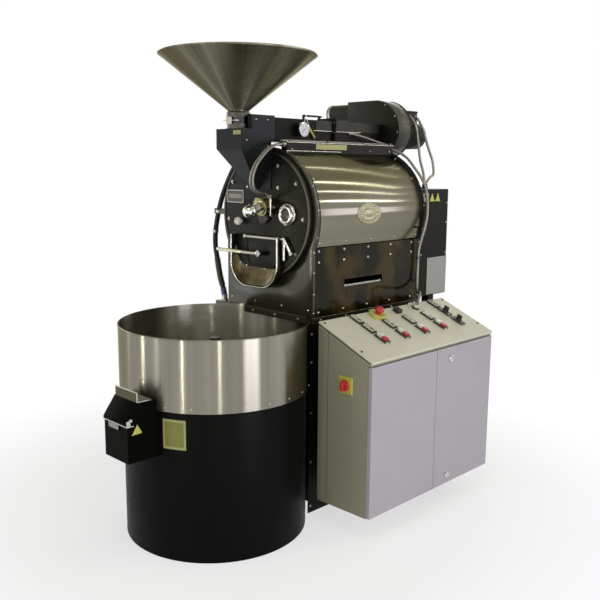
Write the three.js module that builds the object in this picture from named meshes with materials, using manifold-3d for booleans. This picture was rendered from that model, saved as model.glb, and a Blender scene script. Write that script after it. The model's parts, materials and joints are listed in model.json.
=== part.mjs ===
// Drum coffee roaster with cooling bin and control console, in millimetres.
// +Z is up, the front faces -Y, the console stands on the +X side.
// The origin is on the floor, under the outer face of the front end plate, on the drum's centre line.

import * as THREE from 'three';
import { ConvexGeometry } from 'three/addons/geometries/ConvexGeometry.js';
import { mergeVertices } from 'three/addons/utils/BufferGeometryUtils.js';
import Module from 'manifold-3d';

const wasm = await Module();
wasm.setup();

// Shared clearances and overruns
const seatGap = 0.3;
const runGap = 1;
const slideGap = 0.6;
const overrun = 5;

// Round sections, in sides
const bigSides = 48;
const midSides = 24;
const smallSides = 12;
const cordSides = 8;

// Upper body: two arched end plates on a deck
const deckTop = 812;
const deckDepth = 26;
const deckSheet = 5;
const deckFrontLip = 6;
const deckSideLip = 5.5;
const bodySideRoom = 28.5;
const bodyLength = 690;
const plateThickness = 10;
const archCentreZ = 1196;
const archRoom = 52;
const coverInset = 6;
const coverSheet = 4;
const coverEdgeZ = 1090;
const sidePanelSheet = 4;
const sidePanelDrop = 4;

// Air slot in the right side panel
const airSlotStart = 184;
const airSlotEnd = 428;
const airSlotBottom = 919;
const airSlotHeight = 30;

// Drum and its shaft
const drumRadius = 228;
const drumSheet = 4;
const drumFrontY = 16;
const drumRearGap = 20;
const shaftRadius = 12;
const shaftOverhang = 50;
const vaneCount = 4;
const vaneDepth = 74;
const vaneSheet = 5;
const vaneEndGap = 40;
const spiderArm = 12;
const spiderShare = 0.5;

// Round front casting
const castingCentreZ = 1208;
const castingMargin = 23;
const castingDepth = 20;
const mouthMargin = 8;

// Discharge door, its hinge bar and latch lever
const doorCentreX = -13;
const doorWidth = 182;
const doorDropShare = 0.836576;
const doorTop = 1106;
const doorSheet = 7;
const doorLap = 8;
const hingeBarRadius = 6;
const hingeBarZ = 1114;
const hingeBarReach = 52;
const crankLength = 84;
const crankSpread = 42;
const crankDrop = 52;
const crankSheet = 6;
const crankWidth = 12;
const latchBossRadius = 13;
const latchBossDepth = 26;
const latchX = 7;
const latchZ = 1051;
const latchRodRadius = 5;
const latchRodLength = 264;
const latchGripLength = 60;
const latchGripRadius = 7;

// Discharge spout round the door
const spoutCentreX = -40;
const spoutHalfWidth = 142;
const spoutDropShare = 1.167315;
const spoutTop = 1118;
const spoutDepth = 26;
const spoutSheet = 4;
const spoutCorner = 100;

// Sight glass
const sightAsideShare = 0.540856;
const sightZ = 1213;
const sightOuterRadius = 45;
const sightBore = 22;
const sightDepth = 24;
const paneThickness = 5;
const ringShare = 0.78;

// Sample trier and its bushing, leaning down towards the front
const trierX = 22;
const trierZ = 1252;
const trierLean = Math.PI / 12;
const trierRadius = 9;
const trierReach = 150;
const trierBushRadius = 28;
const trierBushLength = 52;
const trierCollar = 62;
const trierStick = 40;
const trierKnobRadius = 21;
const trierTroughLength = 90;

// Temperature probes
const probeX = 60;
const probeZ = 1240;
const probeBottom = 1206;
const probeTop = 1288;
const probeStand = 24;
const probeHeadRadius = 8;
const probeStemRadius = 4;
const probeStemReach = 60;
const leadRadius = 5;
const leadHalfGap = 8;
const probeRoute = [
  [82, 9.6, 1486], [82, -10, 1487], [80, -62, 1474], [76, -106, 1438], [72, -136, 1400], [68, -150, 1352],
  [64, -140, 1314], [62, -108, 1298], [60, -76, 1294], [60, -46, 1282],
];
const dialY = 141;
const dialRise = 52;
const dialRadius = 29;
const dialDepth = 14;
const dialStemRadius = 5;
const dialStemLength = 16;

// Bean hopper and its slide gate
const hopperX = -34.5;
const hopperY = -126;
const neckRadius = 41;
const neckSheet = 3;
const neckHeight = 68;
const hopperHeight = 211;
const hopperRimRadius = 303;
const rimRollRadius = 5;
const neckFlange = 8;
const gateRise = 31;
const gateSheet = 3;
const gateHalfWidth = 36;
const gateTabReach = 7;
const gateTabWidth = 28;
const gateTabHeight = 27;

// Feed chute box in front of the casting
const chuteLeft = -109;
const chuteRight = 40;
const chuteFront = -178;
const chuteRise = 46;
const chuteBoxHeight = 77;
const chuteSheet = 4;
const chuteTipLeft = -72;
const chuteTipRight = -32;
const chuteTipZ = 1310;
const chuteTipDepth = 12;
const riserFront = -122;
const riserRear = -2;
const riserRise = 6;
const feedSlotBottom = 1332;
const feedSlotTop = 1398;
const feedSlotInset = 9;

// Exhaust duct, damper and fan
const ductLeft = -45;
const ductRight = 35;
const ductRise = 21;
const ductHeight = 95;
const ductSheet = 3;
const damperY = 178;
const damperInset = 18;
const damperShaftRadius = 5;
const damperBlade = 62;
const damperSheet = 3;
const damperRest = Math.PI * 40 / 180;
const damperArm = 74;
const damperArmWidth = 14;
const damperRingRadius = 11;
const damperRingTube = 2.5;
const fanX = -5;
const fanRise = 53;
const fanDepth = 100;
const fanSheet = 4;
const fanRadiusBottom = 95;
const fanRadiusTop = 150;
const fanOutletLeft = -185;
const voluteTongueShare = -0.1;
const fanOutletHeight = 92;
const outletPipeRadius = 43;
const outletPipeLength = 150;
const fanIntakeRadius = 36;
const impellerRadius = 80;
const impellerDepth = 60;
const impellerBlades = 10;
const impellerBladeSheet = 3;
const impellerBladeDepth = 30;
const impellerHub = 16;
const fanMotorRadius = 62;
const fanMotorLength = 208;
const fanShaftRadius = 9;
const fanShaftSeat = 36;
const terminalBoxWidth = 90;
const terminalBoxStart = 20;
const terminalBoxLength = 125;
const terminalBoxRise = 52;
const terminalBoxSink = 12;

// Cable trunking along the top of the cover
const trunkingLeft = 66;
const trunkingRight = 98;
const trunkingRise = 26;

// Rear cabinet over the chain drive
const cabinetInset = 0.5;
const cabinetBottom = 818;
const cabinetTop = 1303;
const cabinetRearGap = 18.3;
const cabinetSheet = 4;
const drumSprocketRadius = 90;
const motorSprocketRadius = 37.5;
const sprocketStandoff = 30;
const sprocketWidth = 8;
const sprocketToothDepth = 4;
const drumTeeth = 36;
const motorTeeth = 15;
const chainDepth = 9;
const motorZ = 932;
const motorRadius = 60;
const motorStandoff = 50;
const motorLength = 140;
const motorShaftRadius = 10;
const motorShaftSeat = 40;
const motorFootWidth = 110;
const bearingRadius = 30;
const bearingDepth = 12;
const frontCapRadius = 22;
const frontCapDepth = 14;

// Burner tubes below the drum
const burnerCount = 3;
const burnerSpacing = 110;
const burnerRadius = 14;
const burnerZ = 884;

// Base frame below the deck
const baseSheet = 4;
const baseSideFront = -16;
const baseRecess = 66;
const baseRearInset = 6;
const legSide = 40;
const legInset = 20;
const legStandoff = 110;
const bracketSide = 30;
const bracketLowZ = 180;
const bracketHighZ = 640;
const bracketFrontY = 150;
const bracketRearInset = 124;
const railHeight = 40;

// Cooling bin
const binX = 40;
const binBackGap = 29.3;
const binStep = 12.3;
const binSheet = 3;
const binFloor = 5;
const ringRadius = 365;
const ringSheet = 4;
const ringBottom = 557;
const ringTop = 818;
const ringLedge = 14;
const ringLedgeThickness = 4;
const trayThickness = 3;
const traySlots = 24;
const traySlotWidth = 10;
const traySlotInner = 90;
const traySlotMargin = 35;
const stirrerShaftRadius = 14;
const stirrerShaftSeat = 40;
const stirrerRest = Math.PI / 4;
const stirrerHubRadius = 30;
const stirrerHubHeight = 70;
const stirrerPostRadius = 14;
const stirrerPostHeight = 184;
const stirrerCapRadius = 20;
const stirrerCapHeight = 12;
const stirrerArms = 4;
const stirrerArmHeight = 60;
const stirrerArmSide = 14;
const stirrerTip = 14;
const paddleHeight = 40;
const paddleSheet = 5;
const paddleLength = 70;
const paddleLift = 4;
const paddlesPerArm = 3;
const paddleHubGap = 10;
const paddleTurn = Math.PI / 5;
const gearmotorRadius = 70;
const gearmotorHeight = 210;
const gearmotorBeam = 50;
const gearmotorBeamZ = 300;

// Bean outlet on the front of the bin
const outletAside = 35;
const outletWidth = 144;
const outletReach = 105;
const outletBottom = 392;
const outletNose = 532;
const outletTop = 598;
const outletShoulderInset = 48;
const outletSheet = 3;
const outletMouthWidth = 120;
const binGateSheet = 3;
const binGateShelf = 56;
const binGateLip = 35;
const binGateInset = 4;

// Console
const consoleStandoff = 79.1;
const consoleDepth = 249.4;
const consoleFront = -48;
const consoleOverhang = 72;
const consoleBottom = 98;
const consoleSheet = 4;
const panelOverhang = 19;
const panelLowZ = 703;
const panelHighZ = 817;
const panelSheet = 6;
const panelLip = 10;
const leafSheet = 18;
const leafRim = 12;
const leafSeamShare = 0.501235;
const leafBottom = 100;
const lockInset = 97;
const lockRadius = 14;
const lockProud = 6;
const lockStemRadius = 9;
const lockLowInset = 37;
const lockHighInset = 48;
const lockCamLength = 26;
const lockCamSheet = 3;
const switchInset = 104;
const switchZ = 597;
const switchPlateSide = 66;
const switchPlateDepth = 6;
const switchKnobRadius = 21;
const switchKnobDepth = 26;
const switchGripWidth = 12;
const backplateSheet = 3;
const backplateMargin = 60;
const gearDepth = 70;
const gearHeight = 110;
const gearLength = 170;
const gearCount = 3;
const backplateStandoff = 12;

// Controls on the sloped panel: rows run down the slope, columns along the console
const controlRowShares = [0.123454, 0.360074, 0.61384];
const controlColumnShares = [0.222222, 0.382716, 0.54321, 0.701235, 0.860494];
const twinLength = 62;
const twinWidth = 30;
const twinHeight = 8;
const capSide = 22;
const capRise = 8;
const capSink = 3;
const capGap = 3;
const capWell = 6;
const lensShare = 0.8;
const dialKnobRadius = 13;
const dialKnobHeight = 24;
const dialKnobGrip = 9;
const estopBaseRadius = 35;
const estopBaseHeight = 13;
const estopNeckRadius = 12;
const estopHeadRadius = 20;
const estopHeadHeight = 16;
const estopNeckHeight = 12;
const estopTravel = 4;
const glandRadius = 16;
const glandHeight = 22;

// Cords
const conduitRadius = 6;
const hoseRadius = 11;
const hoseGlandRadius = 15;
const hoseGlandHeight = 24;
const hoseTabReach = 82;
const hoseTabDepth = 44;
const hoseClampWidth = 24;
const hoseClampGap = 0.4;
const hoseClampReach = 67;
const hoseClampZ = 1207;
const leadSpacing = 32;
const motorLeadRise = 86;
const cabinetGlandX = 150;
const cabinetGlandInset = 40.3;
// Both of these run behind the body, so their second number counts from the rear plate's face.
const motorRoutes = [
  [[66, 160, 1632], [92, 162, 1596], [108, 166, 1520], [122, 170, 1430], [138, 172, 1380]],
  [[70, 196, 1634], [96, 210, 1590], [100, 255, 1500], [104, 292, 1430], [122, 278, 1372], [142, 220, 1352]],
];
const panelRoute = [
  [82, -9.6, 1481], [82, -5, 1481], [94, 6, 1477], [118, 14, 1466], [158, 22, 1440], [200, 24, 1396],
  [242, 22, 1350], [268, 19, 1304], [284, 12, 1240], [290, 0, 1172], [284, -18, 1100], [274, -28, 1040],
  [272, -30, 950], [276, -38, 880], [300, -70, 846], [336, -120, 844],
];
// Round the arch: angle about its centre, distance beyond its edge, and place along the body.
const hoseRoute = [
  [1.98609, -2.403, 45], [1.99662, 27.456, 42], [2.07789, 28.869, 30], [2.22772, 18.027, 14],
  [2.38736, 15.007, 6], [2.66279, 15.195, 5], [2.89108, 26.57, 5], [3.10755, 43.187, 5],
  [3.36057, 74.464, 5], [3.52748, 99.938, 8], [3.69049, 124.408, 14], [3.83021, 159.047, 22],
];
// From the arch down to the deck: distance beyond the body's side, place along it, height over the deck.
const hoseFootRoute = [[65.5, 26, 48], [55.5, 26, 8]];

// Values that follow from the sizes above
const bodyHalfWidth = drumRadius + bodySideRoom;
const archRadius = drumRadius + archRoom;
const deckBottom = deckTop - deckDepth;
const plateInner = bodyLength - plateThickness;
const coverRadius = archRadius - coverInset;
const castingRadius = archRadius - castingMargin;
const doorBottom = castingCentreZ - castingRadius * doorDropShare;
const spoutBottom = castingCentreZ - castingRadius * spoutDropShare;
const sightX = castingRadius * sightAsideShare;
const drumRearY = plateInner - drumRearGap;
const shaftRearY = bodyLength + shaftOverhang;
const sprocketY = bodyLength + sprocketStandoff;
const motorStart = bodyLength + motorStandoff;
const cabinetHalfWidth = bodyHalfWidth - cabinetInset;
const baseRear = bodyLength - baseRearInset;
const legY = bodyLength + legStandoff;
const bracketRearY = baseRear - bracketRearInset;
const trunkingTop = archCentreZ + coverRadius + trunkingRise;
const ductBottom = archCentreZ + archRadius + ductRise;
const ductTop = ductBottom + ductHeight;
const damperZ = ductTop - damperInset;
const fanZ = ductBottom + fanRise;
const dialZ = ductBottom + dialRise;
const chuteTop = ductBottom + chuteRise;
const chuteKnee = chuteTop - chuteBoxHeight;
const riserTop = ductTop + riserRise;
const gateZ = chuteTop + gateRise;
const neckTop = chuteTop + neckHeight;
const hopperRimZ = neckTop + hopperHeight;
const motorLeadZ = fanZ + motorLeadRise;
const consoleLeft = bodyHalfWidth + consoleStandoff;
const consoleRight = consoleLeft + consoleDepth;
const consoleRear = bodyLength + consoleOverhang;
const panelLowX = consoleRight + panelOverhang;
const switchX = consoleRight - switchInset;
const binRadius = ringRadius - binStep;
const binY = baseRecess - binBackGap - binRadius;
const traySlotOuter = ringRadius - traySlotMargin;
const outletX = binX + outletAside;
const outletFront = binY - ringRadius - outletReach;
const outletShoulder = outletFront + outletShoulderInset;
const drumMouthRadius = drumRadius + mouthMargin;
const castingFront = -castingDepth;
const sidePanelTop = coverEdgeZ - sidePanelDrop;
const fanFront = bodyLength + seatGap;
const fanRear = fanFront + fanDepth;
const panelRun = panelLowX - consoleLeft;
const panelRise = panelHighZ - panelLowZ;
const panelTilt = Math.atan2(panelRise, panelRun);
const panelLength = Math.hypot(panelRun, panelRise);
const consoleLength = consoleRear - consoleFront;
const leafSeamY = consoleFront + consoleLength * leafSeamShare;
const lockY = leafSeamY + lockInset;
const controlRows = controlRowShares.map((share) => panelLength * share);
const controlColumns = controlColumnShares.map((share) => consoleLength * share);
const cabinetFront = bodyLength + seatGap;
const cabinetDepth = motorStart + motorLength + cabinetRearGap + cabinetSheet - cabinetFront;
const cabinetGlandY = cabinetFront + cabinetDepth - cabinetGlandInset;
const ringBack = baseSideFront;
const leafTop = panelLowZ - panelLip - panelSheet - runGap * 3;
const lockHeights = [leafBottom + lockLowInset, leafTop - lockHighInset];

// Shapes

// Box between two opposite corners.
function box(x0, y0, z0, x1, y1, z1) {
  const geometry = new THREE.BoxGeometry(x1 - x0, y1 - y0, z1 - z0);
  return geometry.translate((x0 + x1) / 2, (y0 + y1) / 2, (z0 + z1) / 2);
}

// Cylinder between two points.
function rod(from, to, radius, sides = smallSides, endRadius = radius) {
  const start = new THREE.Vector3(...from);
  const end = new THREE.Vector3(...to);
  const along = end.clone().sub(start);
  const geometry = new THREE.CylinderGeometry(endRadius, radius, along.length(), sides);
  const turn = new THREE.Quaternion().setFromUnitVectors(new THREE.Vector3(0, 1, 0), along.normalize());
  const middle = start.add(end).multiplyScalar(0.5);
  return geometry.applyQuaternion(turn).translate(middle.x, middle.y, middle.z);
}

// Body turned about the Z axis, from a closed list of [radius, height].
function turned(profile, sides = bigSides) {
  const points = profile.map(([radius, height]) => new THREE.Vector2(radius, height));
  return new THREE.LatheGeometry(points, sides).rotateX(Math.PI / 2);
}

// Upright tube, closed on itself.
function pipeZ(x, y, inner, outer, z0, z1, sides = bigSides) {
  const profile = [[inner, z0], [outer, z0], [outer, z1], [inner, z1], [inner, z0]];
  return turned(profile, sides).translate(x, y, 0);
}

// Tube along Y, closed on itself.
function pipeY(x, z, inner, outer, y0, y1, sides = midSides) {
  const length = y1 - y0;
  return pipeZ(0, 0, inner, outer, 0, length, sides).rotateX(-Math.PI / 2).translate(x, y0, z);
}

// Outline in the X-Z plane, stretched along Y.
function plateXZ(outline, y0, y1) {
  const shape = new THREE.Shape(outline.map(([x, z]) => new THREE.Vector2(x, z)));
  const geometry = new THREE.ExtrudeGeometry(shape, { depth: y1 - y0, bevelEnabled: false });
  return geometry.rotateX(Math.PI / 2).translate(0, y1, 0);
}

// Outline in the Y-Z plane, stretched along X.
function plateYZ(outline, x0, x1) {
  const shape = new THREE.Shape(outline.map(([y, z]) => new THREE.Vector2(y, z)));
  const geometry = new THREE.ExtrudeGeometry(shape, { depth: x1 - x0, bevelEnabled: false });
  return geometry.rotateX(Math.PI / 2).rotateZ(Math.PI / 2).translate(x0, 0, 0);
}

// Points on an arc in a plane, from one angle to another.
function arc(centreA, centreB, radius, from, to, steps) {
  return Array.from({ length: steps + 1 }, (unused, step) => {
    const angle = from + (to - from) * step / steps;
    return [centreA + radius * Math.cos(angle), centreB + radius * Math.sin(angle)];
  });
}

// Convex body through its corner points.
function hull(points) {
  return new ConvexGeometry(points.map((point) => new THREE.Vector3(...point)));
}

// Flexible tube of eight sides along a hand-chosen route.
function cord(route, radius) {
  const path = new THREE.CatmullRomCurve3(route.map((point) => new THREE.Vector3(...point)), false, 'centripetal');
  const section = new THREE.Shape(arc(0, 0, radius, 0, Math.PI * 2, cordSides)
    .slice(0, cordSides).map(([a, b]) => new THREE.Vector2(a, b)));
  const steps = Math.max(cordSides, Math.round(path.getLength() / (radius * 5)));
  return new THREE.ExtrudeGeometry(section, { steps, extrudePath: path, bevelEnabled: false });
}

// Route written from the rear plate's face, in the part's frame.
function behindBody(route) {
  return route.map(([x, y, z]) => [x, bodyLength + y, z]);
}

// Booleans

function toSolid(geometry) {
  if (geometry instanceof wasm.Manifold) {
    return geometry;
  }
  const bare = geometry.clone();
  bare.deleteAttribute('normal');
  bare.deleteAttribute('uv');
  const merged = mergeVertices(bare);
  return new wasm.Manifold(new wasm.Mesh({
    numProp: 3,
    vertProperties: new Float32Array(merged.attributes.position.array),
    triVerts: new Uint32Array(merged.index.array),
  }));
}

function join(...pieces) {
  return pieces.map(toSolid).reduce((whole, piece) => whole.add(piece));
}

function cut(body, ...tools) {
  return tools.map(toSolid).reduce((whole, tool) => whole.subtract(tool), toSolid(body));
}

function toGeometry(shape) {
  if (!(shape instanceof wasm.Manifold)) {
    return shape;
  }
  const mesh = shape.getMesh();
  const geometry = new THREE.BufferGeometry();
  geometry.setAttribute('position', new THREE.BufferAttribute(new Float32Array(mesh.vertProperties), 3));
  geometry.setIndex(new THREE.BufferAttribute(new Uint32Array(mesh.triVerts), 1));
  geometry.computeVertexNormals();
  return geometry;
}

// Materials

const finish = (color, roughness, metalness) => new THREE.MeshStandardMaterial({ color, roughness, metalness });
const materials = {
  blackPaint: finish(0x2c2c28, 0.35, 0.2),
  steel: finish(0xa9a698, 0.3, 1),
  polished: finish(0xc8c8c8, 0.12, 1),
  darkSteel: finish(0x6e6a62, 0.4, 1),
  castIron: finish(0x3a3a36, 0.45, 0.5),
  brass: finish(0xb08d4a, 0.3, 1),
  beige: finish(0xcdcab4, 0.55, 0),
  doorGrey: finish(0xbdb9bd, 0.5, 0),
  glass: finish(0x6a5030, 0.05, 0),
  braid: finish(0x8f8d88, 0.5, 0.6),
  rubber: finish(0x22221f, 0.7, 0),
  red: finish(0xb8231c, 0.4, 0),
  white: finish(0xe6e4da, 0.4, 0),
  blackPlastic: finish(0x1d1d1b, 0.5, 0),
};

const roaster = new THREE.Group();

function add(name, shape, material, parent = roaster) {
  const mesh = new THREE.Mesh(toGeometry(shape), material);
  mesh.name = name;
  parent.add(mesh);
  return mesh;
}

// Base, deck and body

function baseFrame() {
  const outer = box(-bodyHalfWidth, baseSideFront, 0, bodyHalfWidth, baseRear, deckBottom - seatGap);
  const inside = bodyHalfWidth - baseSheet;
  const room = box(-inside, baseRecess + baseSheet, baseSheet, inside, baseRear - baseSheet, deckTop);
  const bay = box(-inside, baseSideFront - overrun, -overrun, inside, baseRecess, deckTop);
  const bracket = (y, z) => box(
    bodyHalfWidth - overrun, y, z, consoleLeft - seatGap, y + bracketSide, z + bracketSide,
  );
  const brackets = [bracketLowZ, bracketHighZ].flatMap((z) => [bracketFrontY, bracketRearY].map((y) => bracket(y, z)));
  const legRight = bodyHalfWidth - legInset;
  const leg = box(legRight - legSide, legY, 0, legRight, legY + legSide, cabinetBottom - seatGap);
  const rail = box(legRight - legSide, baseRear - baseSheet, 0, legRight, legY + overrun, railHeight);
  const cleaned = brackets.map((piece) => cut(piece, box(
    -inside, baseSideFront, 0, inside + baseSheet / 2, baseRear, deckTop,
  )));
  return join(cut(outer, room, bay), leg, rail, ...cleaned);
}

function deckPlate() {
  const half = bodyHalfWidth + deckSideLip;
  const outer = box(-half, -deckFrontLip, deckBottom, half, bodyLength, deckTop);
  const hollow = box(
    -half + deckSheet, -deckFrontLip + deckSheet, deckBottom - overrun,
    half - deckSheet, bodyLength - deckSheet, deckTop - deckSheet,
  );
  const tab = box(
    -bodyHalfWidth - hoseTabReach, -deckFrontLip, deckBottom,
    -half + deckSheet, -deckFrontLip + hoseTabDepth, deckTop,
  );
  return join(cut(outer, hollow), tab);
}

// Arch outline with straight legs down to the deck.
function archOutline(radius, halfWidth, bottom) {
  const lean = Math.asin(Math.sqrt(Math.max(radius * radius - halfWidth * halfWidth, 0)) / radius);
  const top = arc(0, archCentreZ, radius, -lean, Math.PI + lean, midSides);
  return [[halfWidth, bottom], ...top, [-halfWidth, bottom]];
}

function frontPlate() {
  const plate = plateXZ(archOutline(archRadius, bodyHalfWidth, deckTop + seatGap), 0, plateThickness);
  const mouth = rod([0, -overrun, archCentreZ], [0, plateThickness + overrun, archCentreZ], drumMouthRadius, bigSides);
  return cut(plate, mouth);
}

function rearPlate() {
  const outline = archOutline(archRadius, bodyHalfWidth, deckTop + seatGap);
  const plate = plateXZ(outline, plateInner, bodyLength);
  const bore = rod(
    [0, plateInner - overrun, archCentreZ], [0, bodyLength + overrun, archCentreZ], shaftRadius + runGap, midSides,
  );
  return cut(plate, bore);
}

function drumCover() {
  const start = plateThickness + seatGap;
  const end = plateInner - seatGap;
  const lean = Math.asin((archCentreZ - coverEdgeZ) / coverRadius);
  const outer = arc(0, archCentreZ, coverRadius, -lean, Math.PI + lean, midSides);
  const inner = arc(0, archCentreZ, coverRadius - coverSheet, Math.PI + lean, -lean, midSides);
  return plateXZ([...outer, ...inner], start, end);
}

// Lower half of the housing, one sheet folded up at both sides.
function lowerCasing() {
  const start = plateThickness + seatGap;
  const end = plateInner - seatGap;
  const inner = bodyHalfWidth - sidePanelSheet;
  const bottom = deckTop + seatGap;
  const outer = box(-bodyHalfWidth, start, bottom, bodyHalfWidth, end, sidePanelTop);
  const room = box(-inner, start - overrun, bottom + sidePanelSheet, inner, end + overrun, sidePanelTop + overrun);
  const slot = box(
    inner - overrun, airSlotStart, airSlotBottom, bodyHalfWidth + overrun, airSlotEnd, airSlotBottom + airSlotHeight,
  );
  return cut(outer, room, slot);
}

function coverTrunking() {
  const start = plateThickness + seatGap;
  const end = plateInner - seatGap;
  const bar = box(trunkingLeft, start, archCentreZ, trunkingRight, end, trunkingTop);
  const under = rod(
    [0, start - overrun, archCentreZ], [0, end + overrun, archCentreZ], coverRadius + seatGap + runGap, bigSides,
  );
  return cut(bar, under);
}

function burnerTubes() {
  const middle = (burnerCount - 1) / 2;
  const start = plateThickness + seatGap;
  const end = plateInner - seatGap;
  const tubes = Array.from({ length: burnerCount }, (unused, index) => {
    const x = (index - middle) * burnerSpacing;
    return rod([x, start, burnerZ], [x, end, burnerZ], burnerRadius);
  });
  const reach = middle * burnerSpacing + burnerRadius;
  const header = box(
    -reach, end - burnerRadius * 2, burnerZ - burnerRadius, reach, end, burnerZ + burnerRadius,
  );
  return join(header, ...tubes);
}

// Front casting and what it carries

const doorLeft = doorCentreX - doorWidth / 2;
const doorRight = doorCentreX + doorWidth / 2;
const feedLeft = chuteTipLeft + feedSlotInset;
const feedRight = chuteTipRight - feedSlotInset / 2;
const trierAlong = new THREE.Vector3(0, -Math.cos(trierLean), -Math.sin(trierLean));

// Point on the trier's axis, a distance out from the casting's face.
function trierPoint(distance) {
  return [trierX, castingFront + trierAlong.y * distance, trierZ + trierAlong.z * distance];
}

function frontCasting() {
  const disc = rod([0, castingFront, castingCentreZ], [0, -seatGap, castingCentreZ], castingRadius, bigSides);
  const through = castingDepth + overrun;
  const outlet = box(
    doorLeft + doorLap, -through, doorBottom + doorLap, doorRight - doorLap, overrun, doorTop - doorLap,
  );
  const feed = box(feedLeft, -through, feedSlotBottom, feedRight, overrun, feedSlotTop);
  const sight = rod([sightX, -through, sightZ], [sightX, overrun, sightZ], sightBore, midSides);
  const bore = rod(
    [0, castingFront - frontCapDepth / 2, archCentreZ], [0, overrun, archCentreZ], shaftRadius + seatGap, midSides,
  );
  const probe = rod([probeX, -through, probeZ], [probeX, overrun, probeZ], probeStemRadius + seatGap);
  const trier = rod(trierPoint(overrun), trierPoint(-through), trierRadius + runGap, midSides);
  const capFront = castingFront - frontCapDepth;
  const cap = rod([0, capFront, archCentreZ], [0, castingFront + overrun, archCentreZ], frontCapRadius);
  return cut(join(disc, cap), outlet, feed, sight, bore, probe, trier);
}

function rearBearing() {
  const start = bodyLength + seatGap;
  return pipeY(0, archCentreZ, shaftRadius + seatGap, bearingRadius, start, start + bearingDepth);
}

function dischargeSpout() {
  const outline = (inset) => {
    const half = spoutHalfWidth - inset;
    const corner = spoutCorner - inset;
    const low = spoutBottom + spoutCorner;
    return [
      [spoutCentreX + half, spoutTop + inset * 2],
      [spoutCentreX - half, spoutTop + inset * 2],
      ...arc(spoutCentreX - half + corner, low, corner, Math.PI, Math.PI * 1.5, cordSides),
      ...arc(spoutCentreX + half - corner, low, corner, Math.PI * 1.5, Math.PI * 2, cordSides),
    ];
  };
  const back = castingFront - seatGap;
  const walls = plateXZ(outline(0), back - spoutDepth, back);
  const room = plateXZ(outline(spoutSheet), back - spoutDepth - overrun, back + overrun);
  const floorTop = doorBottom - doorLap;
  const left = spoutCentreX - spoutHalfWidth + spoutSheet / 2;
  const right = spoutCentreX + spoutHalfWidth - spoutSheet / 2;
  const floor = plateYZ([
    [back, floorTop], [back - spoutDepth, spoutBottom + spoutSheet], [back - spoutDepth, spoutBottom],
    [back - spoutSheet, spoutBottom], [back, spoutBottom + spoutSheet],
  ], left, right);
  const slope = toSolid(floor).intersect(toSolid(plateXZ(outline(0), back - spoutDepth, back)));
  const barSpace = hingeBarRadius + runGap * 2;
  const barY = back - doorSheet - hingeBarRadius / 2;
  const notch = box(
    right - spoutSheet * 2, barY - barSpace, hingeBarZ - barSpace, right + spoutSheet, back + overrun, spoutTop + overrun,
  );
  return cut(join(cut(walls, room), slope), notch);
}

function dischargeDoor() {
  const back = castingFront - seatGap;
  const front = back - doorSheet;
  const leaf = box(doorLeft, front, doorBottom, doorRight, back, doorTop);
  const barY = front - hingeBarRadius / 2;
  const barEnd = doorRight + hingeBarReach;
  const bar = rod([doorLeft, barY, hingeBarZ], [barEnd, barY, hingeBarZ], hingeBarRadius);
  const tongue = box(doorLeft + doorLap, front, doorTop - overrun, doorRight - doorLap, back, hingeBarZ);
  const crankY = barY - crankSheet / 2;
  const hanging = box(
    barEnd - crankWidth, crankY, hingeBarZ - crankLength, barEnd, crankY + crankSheet, hingeBarZ + crankWidth / 2,
  );
  const slanted = plateXZ([
    [barEnd - crankWidth, hingeBarZ + crankWidth / 2], [barEnd - crankWidth / 2, hingeBarZ - crankWidth / 2],
    [barEnd + crankSpread - crankWidth, hingeBarZ - crankDrop], [barEnd + crankSpread, hingeBarZ - crankDrop],
    [barEnd, hingeBarZ + crankWidth / 2],
  ], crankY, crankY + crankSheet);
  const boss = rod(
    [latchX, front - latchBossDepth, latchZ], [latchX, front + overrun / 2, latchZ], latchBossRadius / 2,
  );
  return join(leaf, bar, tongue, hanging, slanted, boss);
}

const latchPlane = castingFront - seatGap - doorSheet - latchBossDepth;

function latchLever() {
  const front = latchPlane - seatGap - latchBossRadius;
  const hub = rod([latchX, front, latchZ], [latchX, latchPlane - seatGap, latchZ], latchBossRadius);
  const rodY = front + latchBossRadius / 2;
  const tip = latchX - latchRodLength;
  const lever = rod([latchX, rodY, latchZ], [tip, rodY, latchZ], latchRodRadius);
  const grip = rod([tip - seatGap, rodY, latchZ], [tip + latchGripLength, rodY, latchZ], latchGripRadius);
  return join(hub, lever, grip);
}

// Sight glass: a flanged ring with its pane across the bore.
function sightGlass() {
  const back = castingFront - seatGap;
  const length = sightDepth;
  const profile = [
    [0, 0], [sightOuterRadius, 0], [sightOuterRadius, length / 3],
    [sightOuterRadius * ringShare, length], [sightBore, length], [sightBore, paneThickness], [0, paneThickness],
  ];
  return turned(profile, midSides).rotateX(Math.PI / 2).translate(sightX, back, sightZ);
}

function trierBushing() {
  const body = rod(trierPoint(0), trierPoint(trierBushLength), trierBushRadius, midSides);
  const flange = rod(trierPoint(trierBushLength * 0.8), trierPoint(trierBushLength), trierBushRadius * 1.12, midSides);
  const root = rod(trierPoint(-trierBushRadius), trierPoint(overrun), trierBushRadius, midSides);
  const bore = rod(trierPoint(-trierCollar), trierPoint(trierCollar), trierRadius + slideGap);
  const face = box(
    trierX - castingRadius, castingFront - seatGap, archCentreZ - castingRadius,
    trierX + castingRadius, castingRadius, archCentreZ + castingRadius,
  );
  return cut(join(body, flange, root), bore, face);
}

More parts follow.
